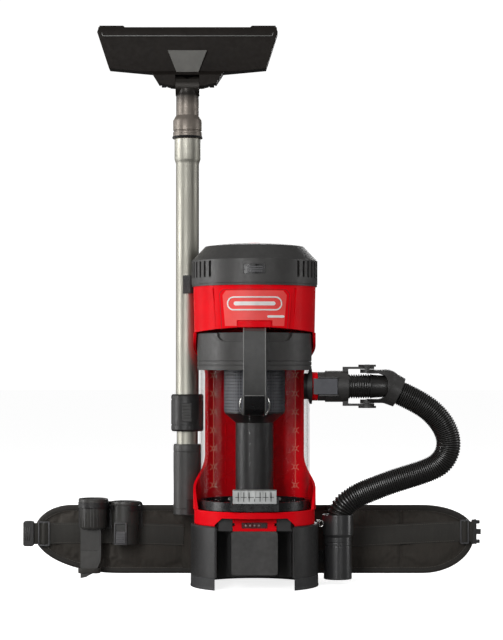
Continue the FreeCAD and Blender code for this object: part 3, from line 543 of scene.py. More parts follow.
# ---- CAD nodes carried over ------------------------------------------------------------
def dress_cad():
    """Gives every CAD node its material, rounded edges and smooth shading."""
    slots = {part["node"]: part["material_slot"] for part in frame["record"]["subparts"]}
    special = {"nozzle_neck": gunmetal, "bin_handle": handle_grey, "bin_lid": lid_black,
               "nozzle_head": nozzle_brown, "nozzle_hood": hood_grey, "coupler_button": coupler_grey,
               "battery_case": battery_black, "crevice_tool": tool_black, "brush_tool": tool_black,
               "hose_cuff": cuff_black}
    for name, obj in nodes.items():
        mesh = obj.data
        look = special.get(name, looks[slots[name]])
        if mesh.materials:
            for index in range(len(mesh.materials)):
                mesh.materials[index] = look
        else:
            mesh.materials.append(look)
        custom = mesh.attributes.get("custom_normal")
        if custom:
            mesh.attributes.remove(custom)
        mesh.shade_smooth()
        weld = obj.modifiers.new("weld", "WELD")
        weld.merge_threshold = 0.01 * MM
        flat = obj.modifiers.new("flat", "DECIMATE")
        flat.decimate_type = "DISSOLVE"
        flat.angle_limit = math.radians(0.4)
        large = name in ("base_housing", "bin_handle", "battery_case")
        round_edges(obj, 0.9 * MM if large else 0.35 * MM, 32)


# ---- hose ------------------------------------------------------------------------------
def route_line(route):
    """Points of the smooth NURBS line through a route's control points."""
    curve = bpy.data.curves.new("route", "CURVE")
    curve.dimensions = "3D"
    spline = curve.splines.new("NURBS")
    spline.points.add(len(route) - 1)
    for point, place in zip(spline.points, route):
        point.co = (*place, 1)
    spline.order_u = 3
    spline.use_endpoint_u = True
    spline.resolution_u = 24
    curve.resolution_u = 24
    holder = bpy.data.objects.new("route", curve)
    mesh = bpy.data.meshes.new_from_object(holder)
    line = [v.co.copy() for v in mesh.vertices]
    bpy.data.objects.remove(holder)
    bpy.data.meshes.remove(mesh)
    return line


def tube_rings(line, radii, segments=44):
    """Round rings at (distance along, radius) stations of a line, without twist."""
    step = 0.5 * MM
    fine = evenly(line, step)
    length = step * (len(fine) - 1)
    tangents = [t for _, t in frames(fine)]
    side = tangents[0].orthogonal().normalized()
    sides = []
    for tangent in tangents:
        side = (side - tangent * side.dot(tangent)).normalized()
        sides.append(side)
    rings = []
    for along, r in radii:
        i = min(len(fine) - 1, round(along / length * (len(fine) - 1)))
        other = tangents[i].cross(sides[i])
        ring = []
        for angle in even_angles(segments):
            ring.append(fine[i] + (sides[i] * math.cos(angle) + other * math.sin(angle)) * r)
        rings.append(ring)
    return rings


def make_hose():
    """Ribbed hose whose ribs open out where it bends down into the cuff."""
    line = route_line(HOSE_ROUTE)
    length = sum((b - a).length for a, b in zip(line, line[1:]))
    radii = [(0, HOSE_R - 2.4 * MM), (1.5 * MM, HOSE_R - 2.2 * MM)]
    along = 2 * MM
    while along < length - 4 * MM:
        open_up = max(0.0, 1 - (length - along) / (85 * MM))
        pitch = (3.5 + 4.2 * open_up**0.8) * MM
        crest = HOSE_R + 0.1 * MM * math.sin(along * 90)
        valley = HOSE_R - (1.9 + 1.6 * open_up) * MM
        rib = ((0.0, valley), (0.5 - 0.17 / (1 + open_up), crest), (0.5 + 0.17 / (1 + open_up), crest))
        radii += [(along + share * pitch, r) for share, r in rib]
        along += pitch
    radii.append((length, HOSE_R - 2.4 * MM))
    tube = loft(tube_rings(line, radii))
    hose = piece("ribbed_hose", tube, looks["hose_rubber"], "hose_end", 0, 20)
    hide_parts("hose")
    path = evenly(line, 4 * MM)


def make_bellows():
    """Soft bellows between the coupler and the hose's elbow."""
    low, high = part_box("hose_bellows")
    radii = [(low.x, 20.6), (low.x + 2.4 * MM, 20.6)]
    for n in range(9):
        x = low.x + (3.4 + 4.0 * n) * MM
        radii += [(x, 18.4), (x + 1.0 * MM, 18.6), (x + 1.9 * MM, 20.6), (x + 2.7 * MM, 20.6)]
    radii += [(low.x + 40.5 * MM, 19.6), (high.x, 18.0)]
    at = Vector((0, 0, port.z))
    outline = [(r * MM, x) for x, r in radii] + [(15.6 * MM, high.x), (15.6 * MM, low.x)]
    tube = turned(outline, at, X, 56)
    soft = piece("ribbed_bellows", tube, looks["hose_rubber"], None, 0, 20)
    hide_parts("hose_bellows")
    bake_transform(soft)


# ---- canister details ------------------------------------------------------------------
def on_drum(r, angle, z):
    """Point on an upright drum; angle 0 is its front, positive towards +X."""
    return Vector((r * math.sin(angle), -r * math.cos(angle), z))


def drum_bar(r, start, end, width, height):
    """Raised bar on a drum between two (angle, z) places, its top rounded off by a chamfer."""
    a0, z0 = start
    a1, z1 = end
    run = Vector(((a1 - a0) * r, z1 - z0))
    across = Vector((-run.y, run.x)).normalized()
    steps = max(1, round(abs(a1 - a0) / math.radians(4)))
    profile = ((-0.5, -0.1), (-0.5, 0.6), (-0.28, 1.0), (0.28, 1.0), (0.5, 0.6), (0.5, -0.1))
    rings = []
    for k in range(steps + 1):
        t = k / steps
        ring = []
        for side, lift in profile:
            angle = a0 + (a1 - a0) * t + across.x * side * width / r
            z = z0 + (z1 - z0) * t + across.y * side * width
            ring.append(on_drum(r + lift * height, angle, z))
        rings.append(ring)
    return loft(rings)


def make_honeycomb():
    """Moulded ribs and their small hexagonal knots on the red wall behind the bin; those of the outermost
    columns are in a lighter red, a painted highlight.
    """
    column, row = 26.4 * MM, 31.7 * MM

    def knot(i, j):
        """Place of a knot, measured round the wall and up."""
        return i * column, 164.5 * MM + (j + 0.5 * (i + 1) % 1) * row

    def rib(start, end, width, height):
        """Rib between two such places."""
        ends = [(math.pi - s / FRAME_INNER_R, z) for s, z in (start, end)]
        return drum_bar(FRAME_INNER_R, *ends, width, -height)

    def ray(at, turn, start, end, width, height):
        """Rib that points away from a knot."""
        ends = [(at[0] + r * math.cos(turn), at[1] + r * math.sin(turn)) for r in (start, end)]
        return rib(*ends, width, height)

    faint, bright = [], []
    sixths = [math.radians(60 * k + 30) for k in range(6)]
    reach = 3.6 * MM
    for i in range(-3, 4):
        # outermost columns in the lighter red: painted highlight
        ribs = bright if abs(i) == 3 else faint
        for j in range(8 if i % 2 else 7):
            at = knot(i, j)
            corners = [(at[0] + reach * math.cos(turn), at[1] + reach * math.sin(turn)) for turn in sixths]
            ribs += [rib(a, b, 1.5 * MM, 1.2 * MM) for a, b in zip(corners, corners[1:] + corners[:1])]
            for turn in sixths:
                level = abs(math.cos(turn)) < 0.1
                length = row / 2 if level else (10 * MM if abs(i) == 3 else column * 0.577)
                end = at[1] + length * math.sin(turn)
                if 150 * MM < end < 396 * MM:
                    ribs.append(ray(at, turn, reach, length, 1.3 * MM, 0.9 * MM))
    for name, ribs, look in (("frame_ribs", faint, looks["red_shell"]), ("frame_knot_highlights", bright, highlight_red)):
        piece(name, merged(*ribs), look, "main_unit", 0, 30)


def make_screen():
    """Perforated sleeve round the cyclone, a near-black sleeve behind its holes as painted shade."""
    r_in, r_out = SHROUD_R + 0.2 * MM, SHROUD_R + 1.0 * MM
    z0, z1 = 294 * MM, 412 * MM
    columns, rows = 62, 22
    width, height = math.tau / columns, (z1 - z0) / rows
    hole = 1.45 * MM
    corners = [(-1, -1), (0, -1), (1, -1), (1, 0), (1, 1), (0, 1), (-1, 1), (-1, 0)]
    points, faces = [], []
    for i in range(columns):
        for j in range(rows):
            first = len(points)
            a, z = (i + 0.5) * width, z0 + (j + 0.5) * height
            points += [on_drum(r_out, a + cx * width / 2, z + cz * height / 2) for cx, cz in corners]
            for r in (r_out, r_in):
                for cx, cz in corners:
                    turn = math.atan2(cz, cx)
                    points.append(on_drum(r, a + hole * math.cos(turn) / r_out, z + hole * math.sin(turn)))
            for ring in (first, first + 8):
                for k in range(8):
                    n = (k + 1) % 8
                    faces.append((ring + k, ring + n, ring + 8 + n, ring + 8 + k))
    piece("cyclone_screen", (points, faces), screen_grey, "bin", 0, 40)
    sleeve = [(r_in - 0.15 * MM, z0), (r_in, z0), (r_in, z1), (r_in - 0.15 * MM, z1)]
    # near-black sleeve: painted shade behind the holes
    piece("screen_shade_backing", turned(sleeve, Vector(), Z, 96), shade_liner, "bin", 0, 30)


def make_cap_liner():
    """Near-black sheet behind the cap's air slots, as painted shade seen through them."""
    r = radius("top_cap") - 4.6 * MM
    outline = [(r - 1.2 * MM, 516 * MM), (r, 516 * MM), (r, 548 * MM), (r - 1.2 * MM, 548 * MM)]
    # painted shade behind the slots
    piece("vent_shade_liner", turned(outline, Vector(), Z, 120), shade_liner, "main_unit", 0, 30)


def drum_plate(r, thick, rows, steps=14):
    """Plate wrapped on the front of a drum; each row is its height and where it starts and ends."""
    rings = []
    for z, start, end in rows:
        angles = [(start + (end - start) * k / steps) / r for k in range(steps + 1)]
        outer = [on_drum(r + thick, angle, z) for angle in angles]
        rings.append(outer + [on_drum(r, angle, z) for angle in reversed(angles)])
    return loft(rings)


def pill(x, z, width, height):
    """Rows of a plate with round ends."""
    rows = []
    for k in range(9):
        turn = math.pi * 0.49 * (k / 4 - 1)
        half = (width - height + height * math.cos(turn)) / 2
        rows.append((z + height / 2 * math.sin(turn), x - half, x + half))
    return rows


def drum_line(r, places, width, height):
    """Thin raised line on a drum through (x, z) places, x measured round the drum."""
    bars = []
    for (x0, z0), (x1, z1) in zip(places, places[1:]):
        bars.append(drum_bar(r, (x0 / r, z0), (x1 / r, z1), width, height))
    return merged(*bars)


def in_mm(places):
    """The same numbers, given in millimetres, as metres."""
    return [tuple(value * MM for value in place) for place in places]


def make_badges():
    """Blank badges on the cap and on the housing's label, and the housing's panel lines."""
    cap_r = radius("top_cap") - 1.4 * MM
    rows = in_mm([(523.2, -16, 16), (525, -17.8, 17.8), (537, -17.8, 17.8), (538.8, -16, 16)])
    piece("cap_badge", drum_plate(cap_r, 0.6 * MM, rows), lid_black, "main_unit", 0.15 * MM)
    lines = [pill(0, z * MM, 26 * MM, 2.2 * MM) for z in (527.4, 531, 534.6)]
    bars = [drum_plate(cap_r + 0.6 * MM, 0.4 * MM, line) for line in lines]
    piece("cap_badge_bars", merged(*bars), looks["grey_plastic"], "main_unit")

    plate_r = 105.0 * MM
    rows = in_mm([(446.6, -51.5, 51.5), (488, -55.5, 55.5), (495.5, -49, 49)])
    wings = [in_mm([(437, 30, 50.6), (446.6, 30, 51.5)]), in_mm([(437, -50.6, -30), (446.6, -51.5, -30)])]
    label = merged(*[drum_plate(plate_r - 0.1 * MM, 0.3 * MM, part) for part in (rows, *wings)])
    piece("front_label", label, label_red, "main_unit", 0, 30)
    outline = in_mm([(-57, 431), (-61.5, 491), (-54, 497.6), (54, 497.6), (61.5, 491), (57, 431)])
    seam = drum_line(plate_r, outline, 0.8 * MM, 0.15 * MM)
    piece("panel_line", seam, seam_red, "main_unit", 0, 30)
    face = plate_r + 0.2 * MM
    oval_rows = pill(0, 474 * MM, 92 * MM, 21 * MM)
    rim = [(start, z) for z, start, end in oval_rows] + [(end, z) for z, start, end in reversed(oval_rows)]
    marks = [drum_line(face, rim + rim[:1], 2.4 * MM, 0.7 * MM),
             drum_plate(face, 0.6 * MM, pill(0, 474 * MM, 70 * MM, 6.5 * MM)),
             drum_plate(face, 0.6 * MM, pill(36 * MM, 452.5 * MM, 30 * MM, 4 * MM))]
    piece("front_badge", merged(*marks), badge_grey, "main_unit", 0, 30)


def make_gauge():
    """Charge lamps and their button in the battery head's recess."""
    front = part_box("battery_head")[0].y + 1.5 * MM
    panel = block(-21.4 * MM, 21.4 * MM, front - 0.4 * MM, front + 0.3 * MM, 101.6 * MM, 111.4 * MM, 1 * MM)
    piece("gauge_panel", panel, gauge_dark, "battery", 0.2 * MM)
    front -= 0.4 * MM
    lens = []
    for n in range(4):
        x = (-14.5 + 7.2 * n) * MM
        lens.append(turned([(0, 0), (1.7 * MM, 0), (1.7 * MM, 0.5 * MM), (1.2 * MM, 0.9 * MM), (0, 1.0 * MM)],
                           Vector((x, front, 106.5 * MM)), -Y, 20))
    piece("gauge_lamps", merged(*lens), lamp_dim, "battery", 0, 40)
    press = block(11 * MM, 19 * MM, front - 1.0 * MM, front + 0.3 * MM, 103.5 * MM, 109.5 * MM, 1.4 * MM)
    piece("gauge_button", press, looks["black_plastic"], "battery", 0.3 * MM)


def screw(at, out, r=2.6 * MM, depth=1.4 * MM):
    """Screw head with a round socket, standing out along a direction."""
    outline = [(0, -0.4 * MM), (r, -0.4 * MM), (r, depth * 0.5), (r * 0.72, depth), (r * 0.3, depth),
               (r * 0.22, depth * 0.35), (0, depth * 0.35)]
    return turned(outline, at, out, 24)


def make_screws():
    """Screws beside the lid latch and on the harness plate."""
    z = 151 * MM
    angle = math.asin(42 / 95.5)
    heads = [screw(on_drum(94.0 * MM, s * angle, z), on_drum(1, s * angle, 0)) for s in (-1, 1)]
    piece("latch_screws", merged(*heads), looks["bright_steel"], "bin")
    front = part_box("harness_plate")[0].y
    places = [(x, z) for x in (-46, 46) for z in (162, 478)]
    heads = [screw(Vector((x * MM, front + 14 * MM, z * MM)), -Y, 3.2 * MM) for x, z in places]
    piece("harness_screws", merged(*heads), looks["bright_steel"], "main_unit")


def make_keeper():
    """Steel ring and pin beside the cuff, where the hose's leash clips on."""
    at = Vector((112.5 * MM, -6 * MM, 104 * MM))
    loop = []
    for angle in even_angles(24):
        loop.append(at + Vector((math.cos(angle) * 3.4 * MM, 0, math.sin(angle) * 5.2 * MM)))
    ring = ribbon(loop, oval(2.0 * MM, 2.0 * MM), Y, closed=True)
    stub = in_mm([(0, 0), (2.4, 0), (2.4, 5), (1.5, 6), (1.5, 8), (0, 8)])
    post = turned(stub, Vector((104.8, -6, 108.5)) * MM, X, 20)
    piece("leash_ring", merged(ring, post), looks["bright_steel"], "main_unit", 0, 50)


# ---- soft goods ------------------------------------------------------------------------
def front_outline(node):
    """Points round a slab's front face, in order."""
    form = bmesh.new()
    form.from_mesh(nodes[node].data)
    bmesh.ops.remove_doubles(form, verts=form.verts, dist=0.01 * MM)
    form.normal_update()
    front = {face for face in form.faces if face.normal.y < -0.9}
    links = {}
    for edge in form.edges:
        if sum(face in front for face in edge.link_faces) == 1:
            a, b = edge.verts
            links.setdefault(a, []).append(b)
            links.setdefault(b, []).append(a)
    start = min(links, key=lambda v: (round(v.co.x, 5), round(v.co.z, 5)))
    loop, before = [start], None
    while True:
        on = next(v for v in links[loop[-1]] if v is not before)
        if on is start:
            break
        before = loop[-1]
        loop.append(on)
    points = [Vector((v.co.x, 0, v.co.z)) for v in loop]
    form.free()
    area = sum(a.x * b.z - b.x * a.z for a, b in zip(points, points[1:] + points[:1]))
    return points if area > 0 else points[::-1]


def search_tree(points):
    """Tree that finds the nearest of some points."""
    tree = kdtree.KDTree(len(points))
    for i, p in enumerate(points):
        tree.insert(p, i)
    tree.balance()
    return tree


def smooth(value):
    """Rises gently from 0 to 1."""
    t = max(0.0, min(1.0, value))
    return t * t * (3 - 2 * t)


def even_copy(name, node, voxel):
    """Evenly meshed copy of a CAD solid."""
    source = bpy.data.objects.new(name, nodes[node].data.copy())
    scene.collection.objects.link(source)
    remesh = source.modifiers.new("even", "REMESH")
    remesh.mode = "VOXEL"
    remesh.voxel_size = voxel
    mesh = bpy.data.meshes.new_from_object(source.evaluated_get(bpy.context.evaluated_depsgraph_get()))
    bpy.data.objects.remove(source)
    mesh.name = name
    made = bpy.data.objects.new(name, mesh)
    scene.collection.objects.link(made)
    return made


CLOTH = {
    "quality": 5, "mass": 0.2, "tension_stiffness": 10, "compression_stiffness": 10, "shear_stiffness": 4,
    "bending_stiffness": 0.3, "air_damping": 3, "use_pressure": True, "uniform_pressure_force": 4,
    "shrink_min": -0.03, "vertex_group_mass": "sewn",
}


class Pad:
    """Padded piece of fabric: a CAD solid's space, thin at its bound edge and along its sewn lines."""

    def __init__(self, name, node, body, look, edge_at, middle_of, seams):
        self.node, self.body, self.look = node, body, look
        self.edge_at, self.middle_of, self.seams = edge_at, middle_of, seams
        self.obj = even_copy(name, node, 5 * MM)
        for v in self.obj.data.vertices:
            middle = middle_of(v.co)
            v.co = middle + (v.co - middle) * self.thickness(v.co)

    def thickness(self, p):
        """Share of the full thickness at a point before it swells."""
        rise = 0.36 + 0.28 * smooth((self.edge_at(p) - 9 * MM) / (22 * MM))
        return rise * (1 - 0.45 * math.exp(-((self.seam(p) / (5 * MM)) ** 2)))

    def seam(self, p):
        """Distance to the nearest sewn line."""
        return min((distance(p) for distance in self.seams), default=1.0)

    def hold(self, p):
        """How firmly the stitching holds a point."""
        return 1.0 if self.edge_at(p) < 10 * MM or self.seam(p) < 3.5 * MM else 0.0

    def add_cloth(self):
        """Light air pressure on the shell."""
        group = self.obj.vertex_groups.new(name="sewn")
        for v in self.obj.data.vertices:
            group.add([v.index], self.hold(v.co), "REPLACE")
        cloth = self.obj.modifiers.new("cloth", "CLOTH")
        for setting, value in CLOTH.items():
            setattr(cloth.settings, setting, value)
        cloth.settings.effector_weights.gravity = 0
        cloth.collision_settings.use_collision = False

    def settle(self, cap):
        """Keeps the swollen shape, no point further out than the cap."""
        if self.obj.modifiers:
            shaped = self.obj.evaluated_get(bpy.context.evaluated_depsgraph_get()).data
            moved = [v.co.copy() for v in shaped.vertices]
            self.obj.modifiers.clear()
            for v, co in zip(self.obj.data.vertices, moved):
                step = co - v.co
                if step.length > cap:
                    step *= cap / step.length
                v.co += step

    def finish(self, slot):
        """One subdivision, then stitched grooves, puckers and the fabric."""
        form = bmesh.new()
        form.from_mesh(self.obj.data)
        bmesh.ops.subdivide_edges(form, edges=form.edges[:], cuts=1, use_grid_fill=True, smooth=0.6)
        for v in form.verts:
            middle = self.middle_of(v.co)
            out = v.co - middle
            groove = math.exp(-((self.seam(v.co) / (2.2 * MM)) ** 2))
            ripple = noise.noise(v.co * 42) * 0.9 * MM + noise.noise(v.co * 110) * 0.35 * MM
            near_edge = math.exp(-(((self.edge_at(v.co) - 12 * MM) / (10 * MM)) ** 2))
            pucker = math.sin((v.co.x + v.co.z * 0.8) * 520) * 0.35 * MM * near_edge
            if out.length > 1 * MM:
                v.co += out.normalized() * (ripple + pucker - groove * 1.6 * MM)
        form.to_mesh(self.obj.data)
        form.free()
        self.obj.data.shade_smooth()
        self.obj.data.materials.clear()
        self.obj.data.materials.append(self.look)
        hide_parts(self.node)
        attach(self.obj, self.body)


def slab_middle(p):
    """Middle of the belt's thickness."""
    return Vector((p.x, belt_middle, p.z))


def slab_edge(loop):
    """Distance to a slab's outline, measured on its face."""
    tree = search_tree(loop)
    return lambda p: tree.find(Vector((p.x, 0, p.z)))[2]


def run_cloth(pads):
    """One short simulation for every pad."""
    for pad in pads:
        pad.add_cloth()
    for step in range(1, CLOTH_FRAMES + 1):
        scene.frame_set(step)
    for pad in pads:
        pad.settle(SWELL_CAP)
    scene.frame_set(1)


STRAP_LINE = [(113, 494), (131, 514), (151, 522), (166, 508), (179.5, 467), (183.5, 400), (179.5, 302),
              (160, 227), (141, 192), (126.5, 174)]


def strap_centre():
    """Smooth middle line of a shoulder strap, at x = 0."""
    return evenly(route_line([(0, y * MM, z * MM) for y, z in STRAP_LINE]), 3 * MM)


def line_finder(line):
    """Function that gives the nearest place on a line, which is drawn at x = 0."""
    tree = search_tree(line)

    def place(p):
        near = tree.find(Vector((0, p.y, p.z)))[0]
        return Vector((p.x, near.y, near.z))

    return place


def vertical_seam(x):
    """Distance to an upright sewn line."""
    return lambda p: abs(p.x - x)


def level_seam(z):
    """Distance to a level sewn line."""
    return lambda p: abs(p.z - z)


def make_pads():
    """Belt wings, lumbar pad, back pad and shoulder straps."""
    fabric = looks["belt_fabric"]
    pads = []
    for side, name in ((-1, "left"), (1, "right")):
        loop = front_outline(f"belt_wing_{name}")
        dense = evenly(loop, 2 * MM, closed=True)
        root = HINGE_X + 6 * MM
        rim = [p for p in dense if abs(p.x) > root + 3 * MM]
        seams = [vertical_seam(side * 0.257)]
        pads.append(Pad(f"padded_wing_{name}", f"belt_wing_{name}", f"{name}_wing", fabric, slab_edge(rim),
                        slab_middle, seams))
    low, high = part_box("lumbar_pad")
    edges = [Vector((x * MM, 0, z)) for x in range(-110, 111, 2) for z in (low.z, high.z)]
    pads.append(Pad("padded_lumbar", "lumbar_pad", "main_unit", fabric, slab_edge(edges), slab_middle,
                    [level_seam(z * MM) for z in (48, 86)]))
    loop = evenly(front_outline("back_pad"), 2 * MM, closed=True)
    pads.append(Pad("padded_back", "back_pad", "main_unit", spacer_mesh, slab_edge(loop), slab_middle,
                    [level_seam(z * MM) for z in (214, 278, 342, 406)] + [vertical_seam(0.0)]))
    line = strap_centre()
    middle = line_finder(line)
    for side, name in ((-1, "left"), (1, "right")):
        low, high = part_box(f"shoulder_strap_{name}")
        x0, x1 = low.x, high.x
        pads.append(Pad(f"padded_strap_{name}", f"shoulder_strap_{name}", "main_unit", fabric,
                        lambda p, x0=x0, x1=x1: min(p.x - x0, x1 - p.x), middle,
                        [vertical_seam((x0 + x1) / 2)]))
    run_cloth(pads)
    for pad in pads:
        pad.finish("belt_fabric")


TAPE = [(a + 5 * MM, b) for a, b in oval(12 * MM, 7.4 * MM)]  # section, lying inward of the edge


def bound_edge(name, path, body):
    """Folded tape sewn over an edge."""
    piece(name, ribbon(path, TAPE, Y), binding, body, 0, 60)


def stitches(path, side, up, pitch=4.6 * MM, length=3.1 * MM):
    """Row of thread stitches along a path, shifted sideways, lying on the up side."""
    solids = []
    for p, tangent in frames(evenly(path, pitch)):
        across = tangent.cross(up).normalized()
        at = p + across * side
        half, wide, high = tangent * length / 2, across * 0.42 * MM, up * 0.32 * MM
        ends = []
        for end, size in ((-1, 0.5), (-0.7, 1.0), (0.7, 1.0), (1, 0.5)):
            ring = [at + half * end + wide * size * a + high * size * b
                    for a, b in ((1, 0), (0.5, 1), (-0.5, 1), (-1, 0), (-0.5, -0.6), (0.5, -0.6))]
            ends.append(ring)
        solids.append(loft(ends))
    return merged(*solids)


def bridge_ring(x):
    """Cross-section of the belt's fabric at a fold line."""
    half_height = (belt_high.z - belt_low.z) / 2 - 1 * MM
    middle_z = (belt_high.z + belt_low.z) / 2
    ring = []
    for side in (-1, 1):
        for k in range(17):
            z = side * half_height * (2 * k / 16 - 1)
            inner = smooth((half_height - abs(z)) / (26 * MM))
            wave = 0.5 * MM * math.sin(z * 160 + x * 90)
            ring.append(Vector((x, belt_middle + side * (2.6 * MM + 4.0 * MM * inner + wave), middle_z + z)))
    return ring


def make_bridges():
    """Fabric that carries the belt on across each fold line."""
    for side, name in ((-1, "left"), (1, "right")):
        start, end = side * (HINGE_X - 12 * MM), side * (HINGE_X + 12 * MM)
        steps = 16
        places = [start + (end - start) * k / steps for k in range(steps + 1)]
        skin = loft([bridge_ring(x) for x in places])
        cover = piece(f"belt_bridge_{name}", skin, looks["belt_fabric"], None, 0, 70)
        tapes = []
        for z, way in ((belt_low.z, 1), (belt_high.z, -1)):
            ordered = sorted(places, reverse=way < 0)
            run = [Vector((x, belt_middle, z)) for x in ordered]
            tapes.append(ribbon(run, TAPE, Y))
        tape = piece(f"bridge_binding_{name}", merged(*tapes), binding, None, 0, 60)
        for soft in (cover, tape):
            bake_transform(soft)


def make_belt():
    """Bound edges, their stitching and the webbing."""
    for name in ("left", "right"):
        body = f"{name}_wing"
        loop = evenly(front_outline(f"belt_wing_{name}"), 3 * MM, closed=True)
        root = HINGE_X + 9 * MM
        count = len(loop)
        first = next(i for i in range(count) if abs(loop[i].x) > root and abs(loop[i - 1].x) <= root)
        run = []
        for k in range(count):
            p = loop[(first + k) % count]
            if abs(p.x) <= root:
                break
            run.append(Vector((p.x, belt_middle, p.z)))
        bound_edge(f"wing_binding_{name}", run, body)
        rows = []
        for face in (-1, 1):
            path = [p + Y * face * 3.72 * MM for p in run]
            rows.append(stitches(path, 9.3 * MM * face, Y * face))
        piece(f"wing_stitching_{name}", merged(*rows), thread, body, 0, 60)
    for z, name, way in ((belt_low.z, "low", 1), (belt_high.z, "high", -1)):
        run = [Vector((way * x * MM, belt_middle, z)) for x in range(-106, 107, 4)]
        bound_edge(f"lumbar_binding_{name}", run, "main_unit")
    make_bridges()
    make_webbing()


def make_webbing():
    """Webbing on the wings, through the sliders and into the buckle halves."""
    face = belt_front - 0.9 * MM
    left = [(-124, face, 74), (-180, face, 76), (-240, face, 78), (-300, face, 78), (-345, face, 77.5),
            (-358, face - 0.4 * MM, 77), (-364.5, face - 2.6 * MM, 77), (-368.5, face - 5.6 * MM, 77),
            (-372.5, face - 2.6 * MM, 77), (-378, face - 0.2 * MM, 77), (-386, face + 2.0 * MM, 77),
            (-392, face + 3.0 * MM, 77)]
    right = [(124, face, 70), (180, face, 72), (240, face, 75), (300, face, 78), (345, face, 80),
             (356, face - 0.2 * MM, 80.5), (362.5, face - 1.6 * MM, 80.5), (368, face - 5.6 * MM, 80.5),
             (373.5, face - 1.6 * MM, 80.5), (378.5, face - 0.6 * MM, 80.5), (383, face - 4.4 * MM, 80.5)]
    for name, run, width in (("left", left, 37 * MM), ("right", right, 36 * MM)):
        line = evenly(route_line([(x * MM, y, z * MM) for x, y, z in run]), 2.5 * MM)
        on_edge = [(b, a) for a, b in oval(width, 1.7 * MM)]
        piece(f"belt_webbing_{name}", ribbon(line, on_edge, Z), webbing, f"{name}_wing", 0, 60)
        flat = [p for p in line if abs(p.x) < 350 * MM]
        on_top = [p - Y * 0.95 * MM for p in flat]
        inset = width / 2 - 2.5 * MM
        rows = [stitches(on_top, edge * inset, -Y, 3.8 * MM, 2.4 * MM) for edge in (-1, 1)]
        piece(f"webbing_stitching_{name}", merged(*rows), thread, f"{name}_wing", 0, 60)

    at = Vector((-286.8 * MM, 83 * MM, 16 * MM))
    around = []
    for angle in even_angles(40):
        x = 18.6 * MM * math.copysign(abs(math.cos(angle)) ** 0.45, math.cos(angle))
        y = 12.2 * MM * math.copysign(abs(math.sin(angle)) ** 0.45, math.sin(angle))
        around.append(at + Vector((x, y, 0)))
    band = [(b, a) for a, b in oval(9 * MM, 1.4 * MM)]
    loop = ribbon(evenly(around, 2 * MM, closed=True), band, Z, closed=True)
    tab = block(-296 * MM, -276 * MM, 95 * MM, belt_front + 1.5 * MM, 12 * MM, 20 * MM, 1 * MM)
    piece("blade_loop", merged(loop, tab), webbing, "left_wing", 0, 60)


def strap_skin(places, section):
    """Section of (x, lift) points carried along a strap's (point, outward) places."""
    return loft([[Vector((x, p.y, p.z)) + out * lift for x, lift in section] for p, out in places])


def make_strap_trim():
    """Bound edges, webbing and slider on each shoulder strap."""
    line = strap_centre()
    places = [(p, X.cross(tangent).normalized()) for p, tangent in frames(line)]
    for name in ("left", "right"):
        low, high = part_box(f"shoulder_strap_{name}")
        edges = []
        for x, way in ((low.x, 1), (high.x, -1)):
            tape = [(x + way * (a + 3.2 * MM), b) for a, b in oval(8 * MM, 7 * MM)]
            edges.append(strap_skin(places, tape))
        piece(f"strap_binding_{name}", merged(*edges), binding, "main_unit", 0, 60)
        middle = (low.x + high.x) / 2
        flat = [(middle + a, -(7.2 * MM + b)) for a, b in oval(25 * MM, 1.8 * MM)]
        piece(f"strap_webbing_{name}", strap_skin(places[6:-8], flat), webbing, "main_unit",
              0, 60)
        slide = round(len(line) * 0.7)
        p, out = places[slide]
        tangent = (line[slide + 1] - line[slide - 1]).normalized()
        bars = []
        for along in (-9, 0, 9):
            start = p - out * 8.6 * MM + tangent * along * MM + X * (middle - 16 * MM)
            bars.append(tube_between(start, start + X * 32 * MM, 1.9 * MM))
        for edge in (-16, 16):
            start = p - out * 8.6 * MM - tangent * 9 * MM + X * (middle + edge * MM)
            bars.append(tube_between(start, start + tangent * 18 * MM, 1.9 * MM))
        piece(f"strap_slider_{name}", merged(*bars), looks["black_plastic"], "main_unit",
              0, 50)


def tube_between(start, end, r, segments=14):
    """Round bar with domed ends."""
    axis = (end - start).normalized()
    length = (end - start).length
    outline = [(0, -r * 0.8), (r * 0.6, -r * 0.6), (r, 0), (r, length), (r * 0.6, length + r * 0.6),
               (0, length + r * 0.8)]
    return turned(outline, start, axis, segments)


# ---- more canister details -------------------------------------------------------------
HANDLE_FRONT = [(-100, 432.9), (-122, 432.9), (-130.2, 428.2), (-134.2, 412), (-134.2, 326), (-130.2, 311.8),
                (-118.2, 299.6), (-106, 291)]


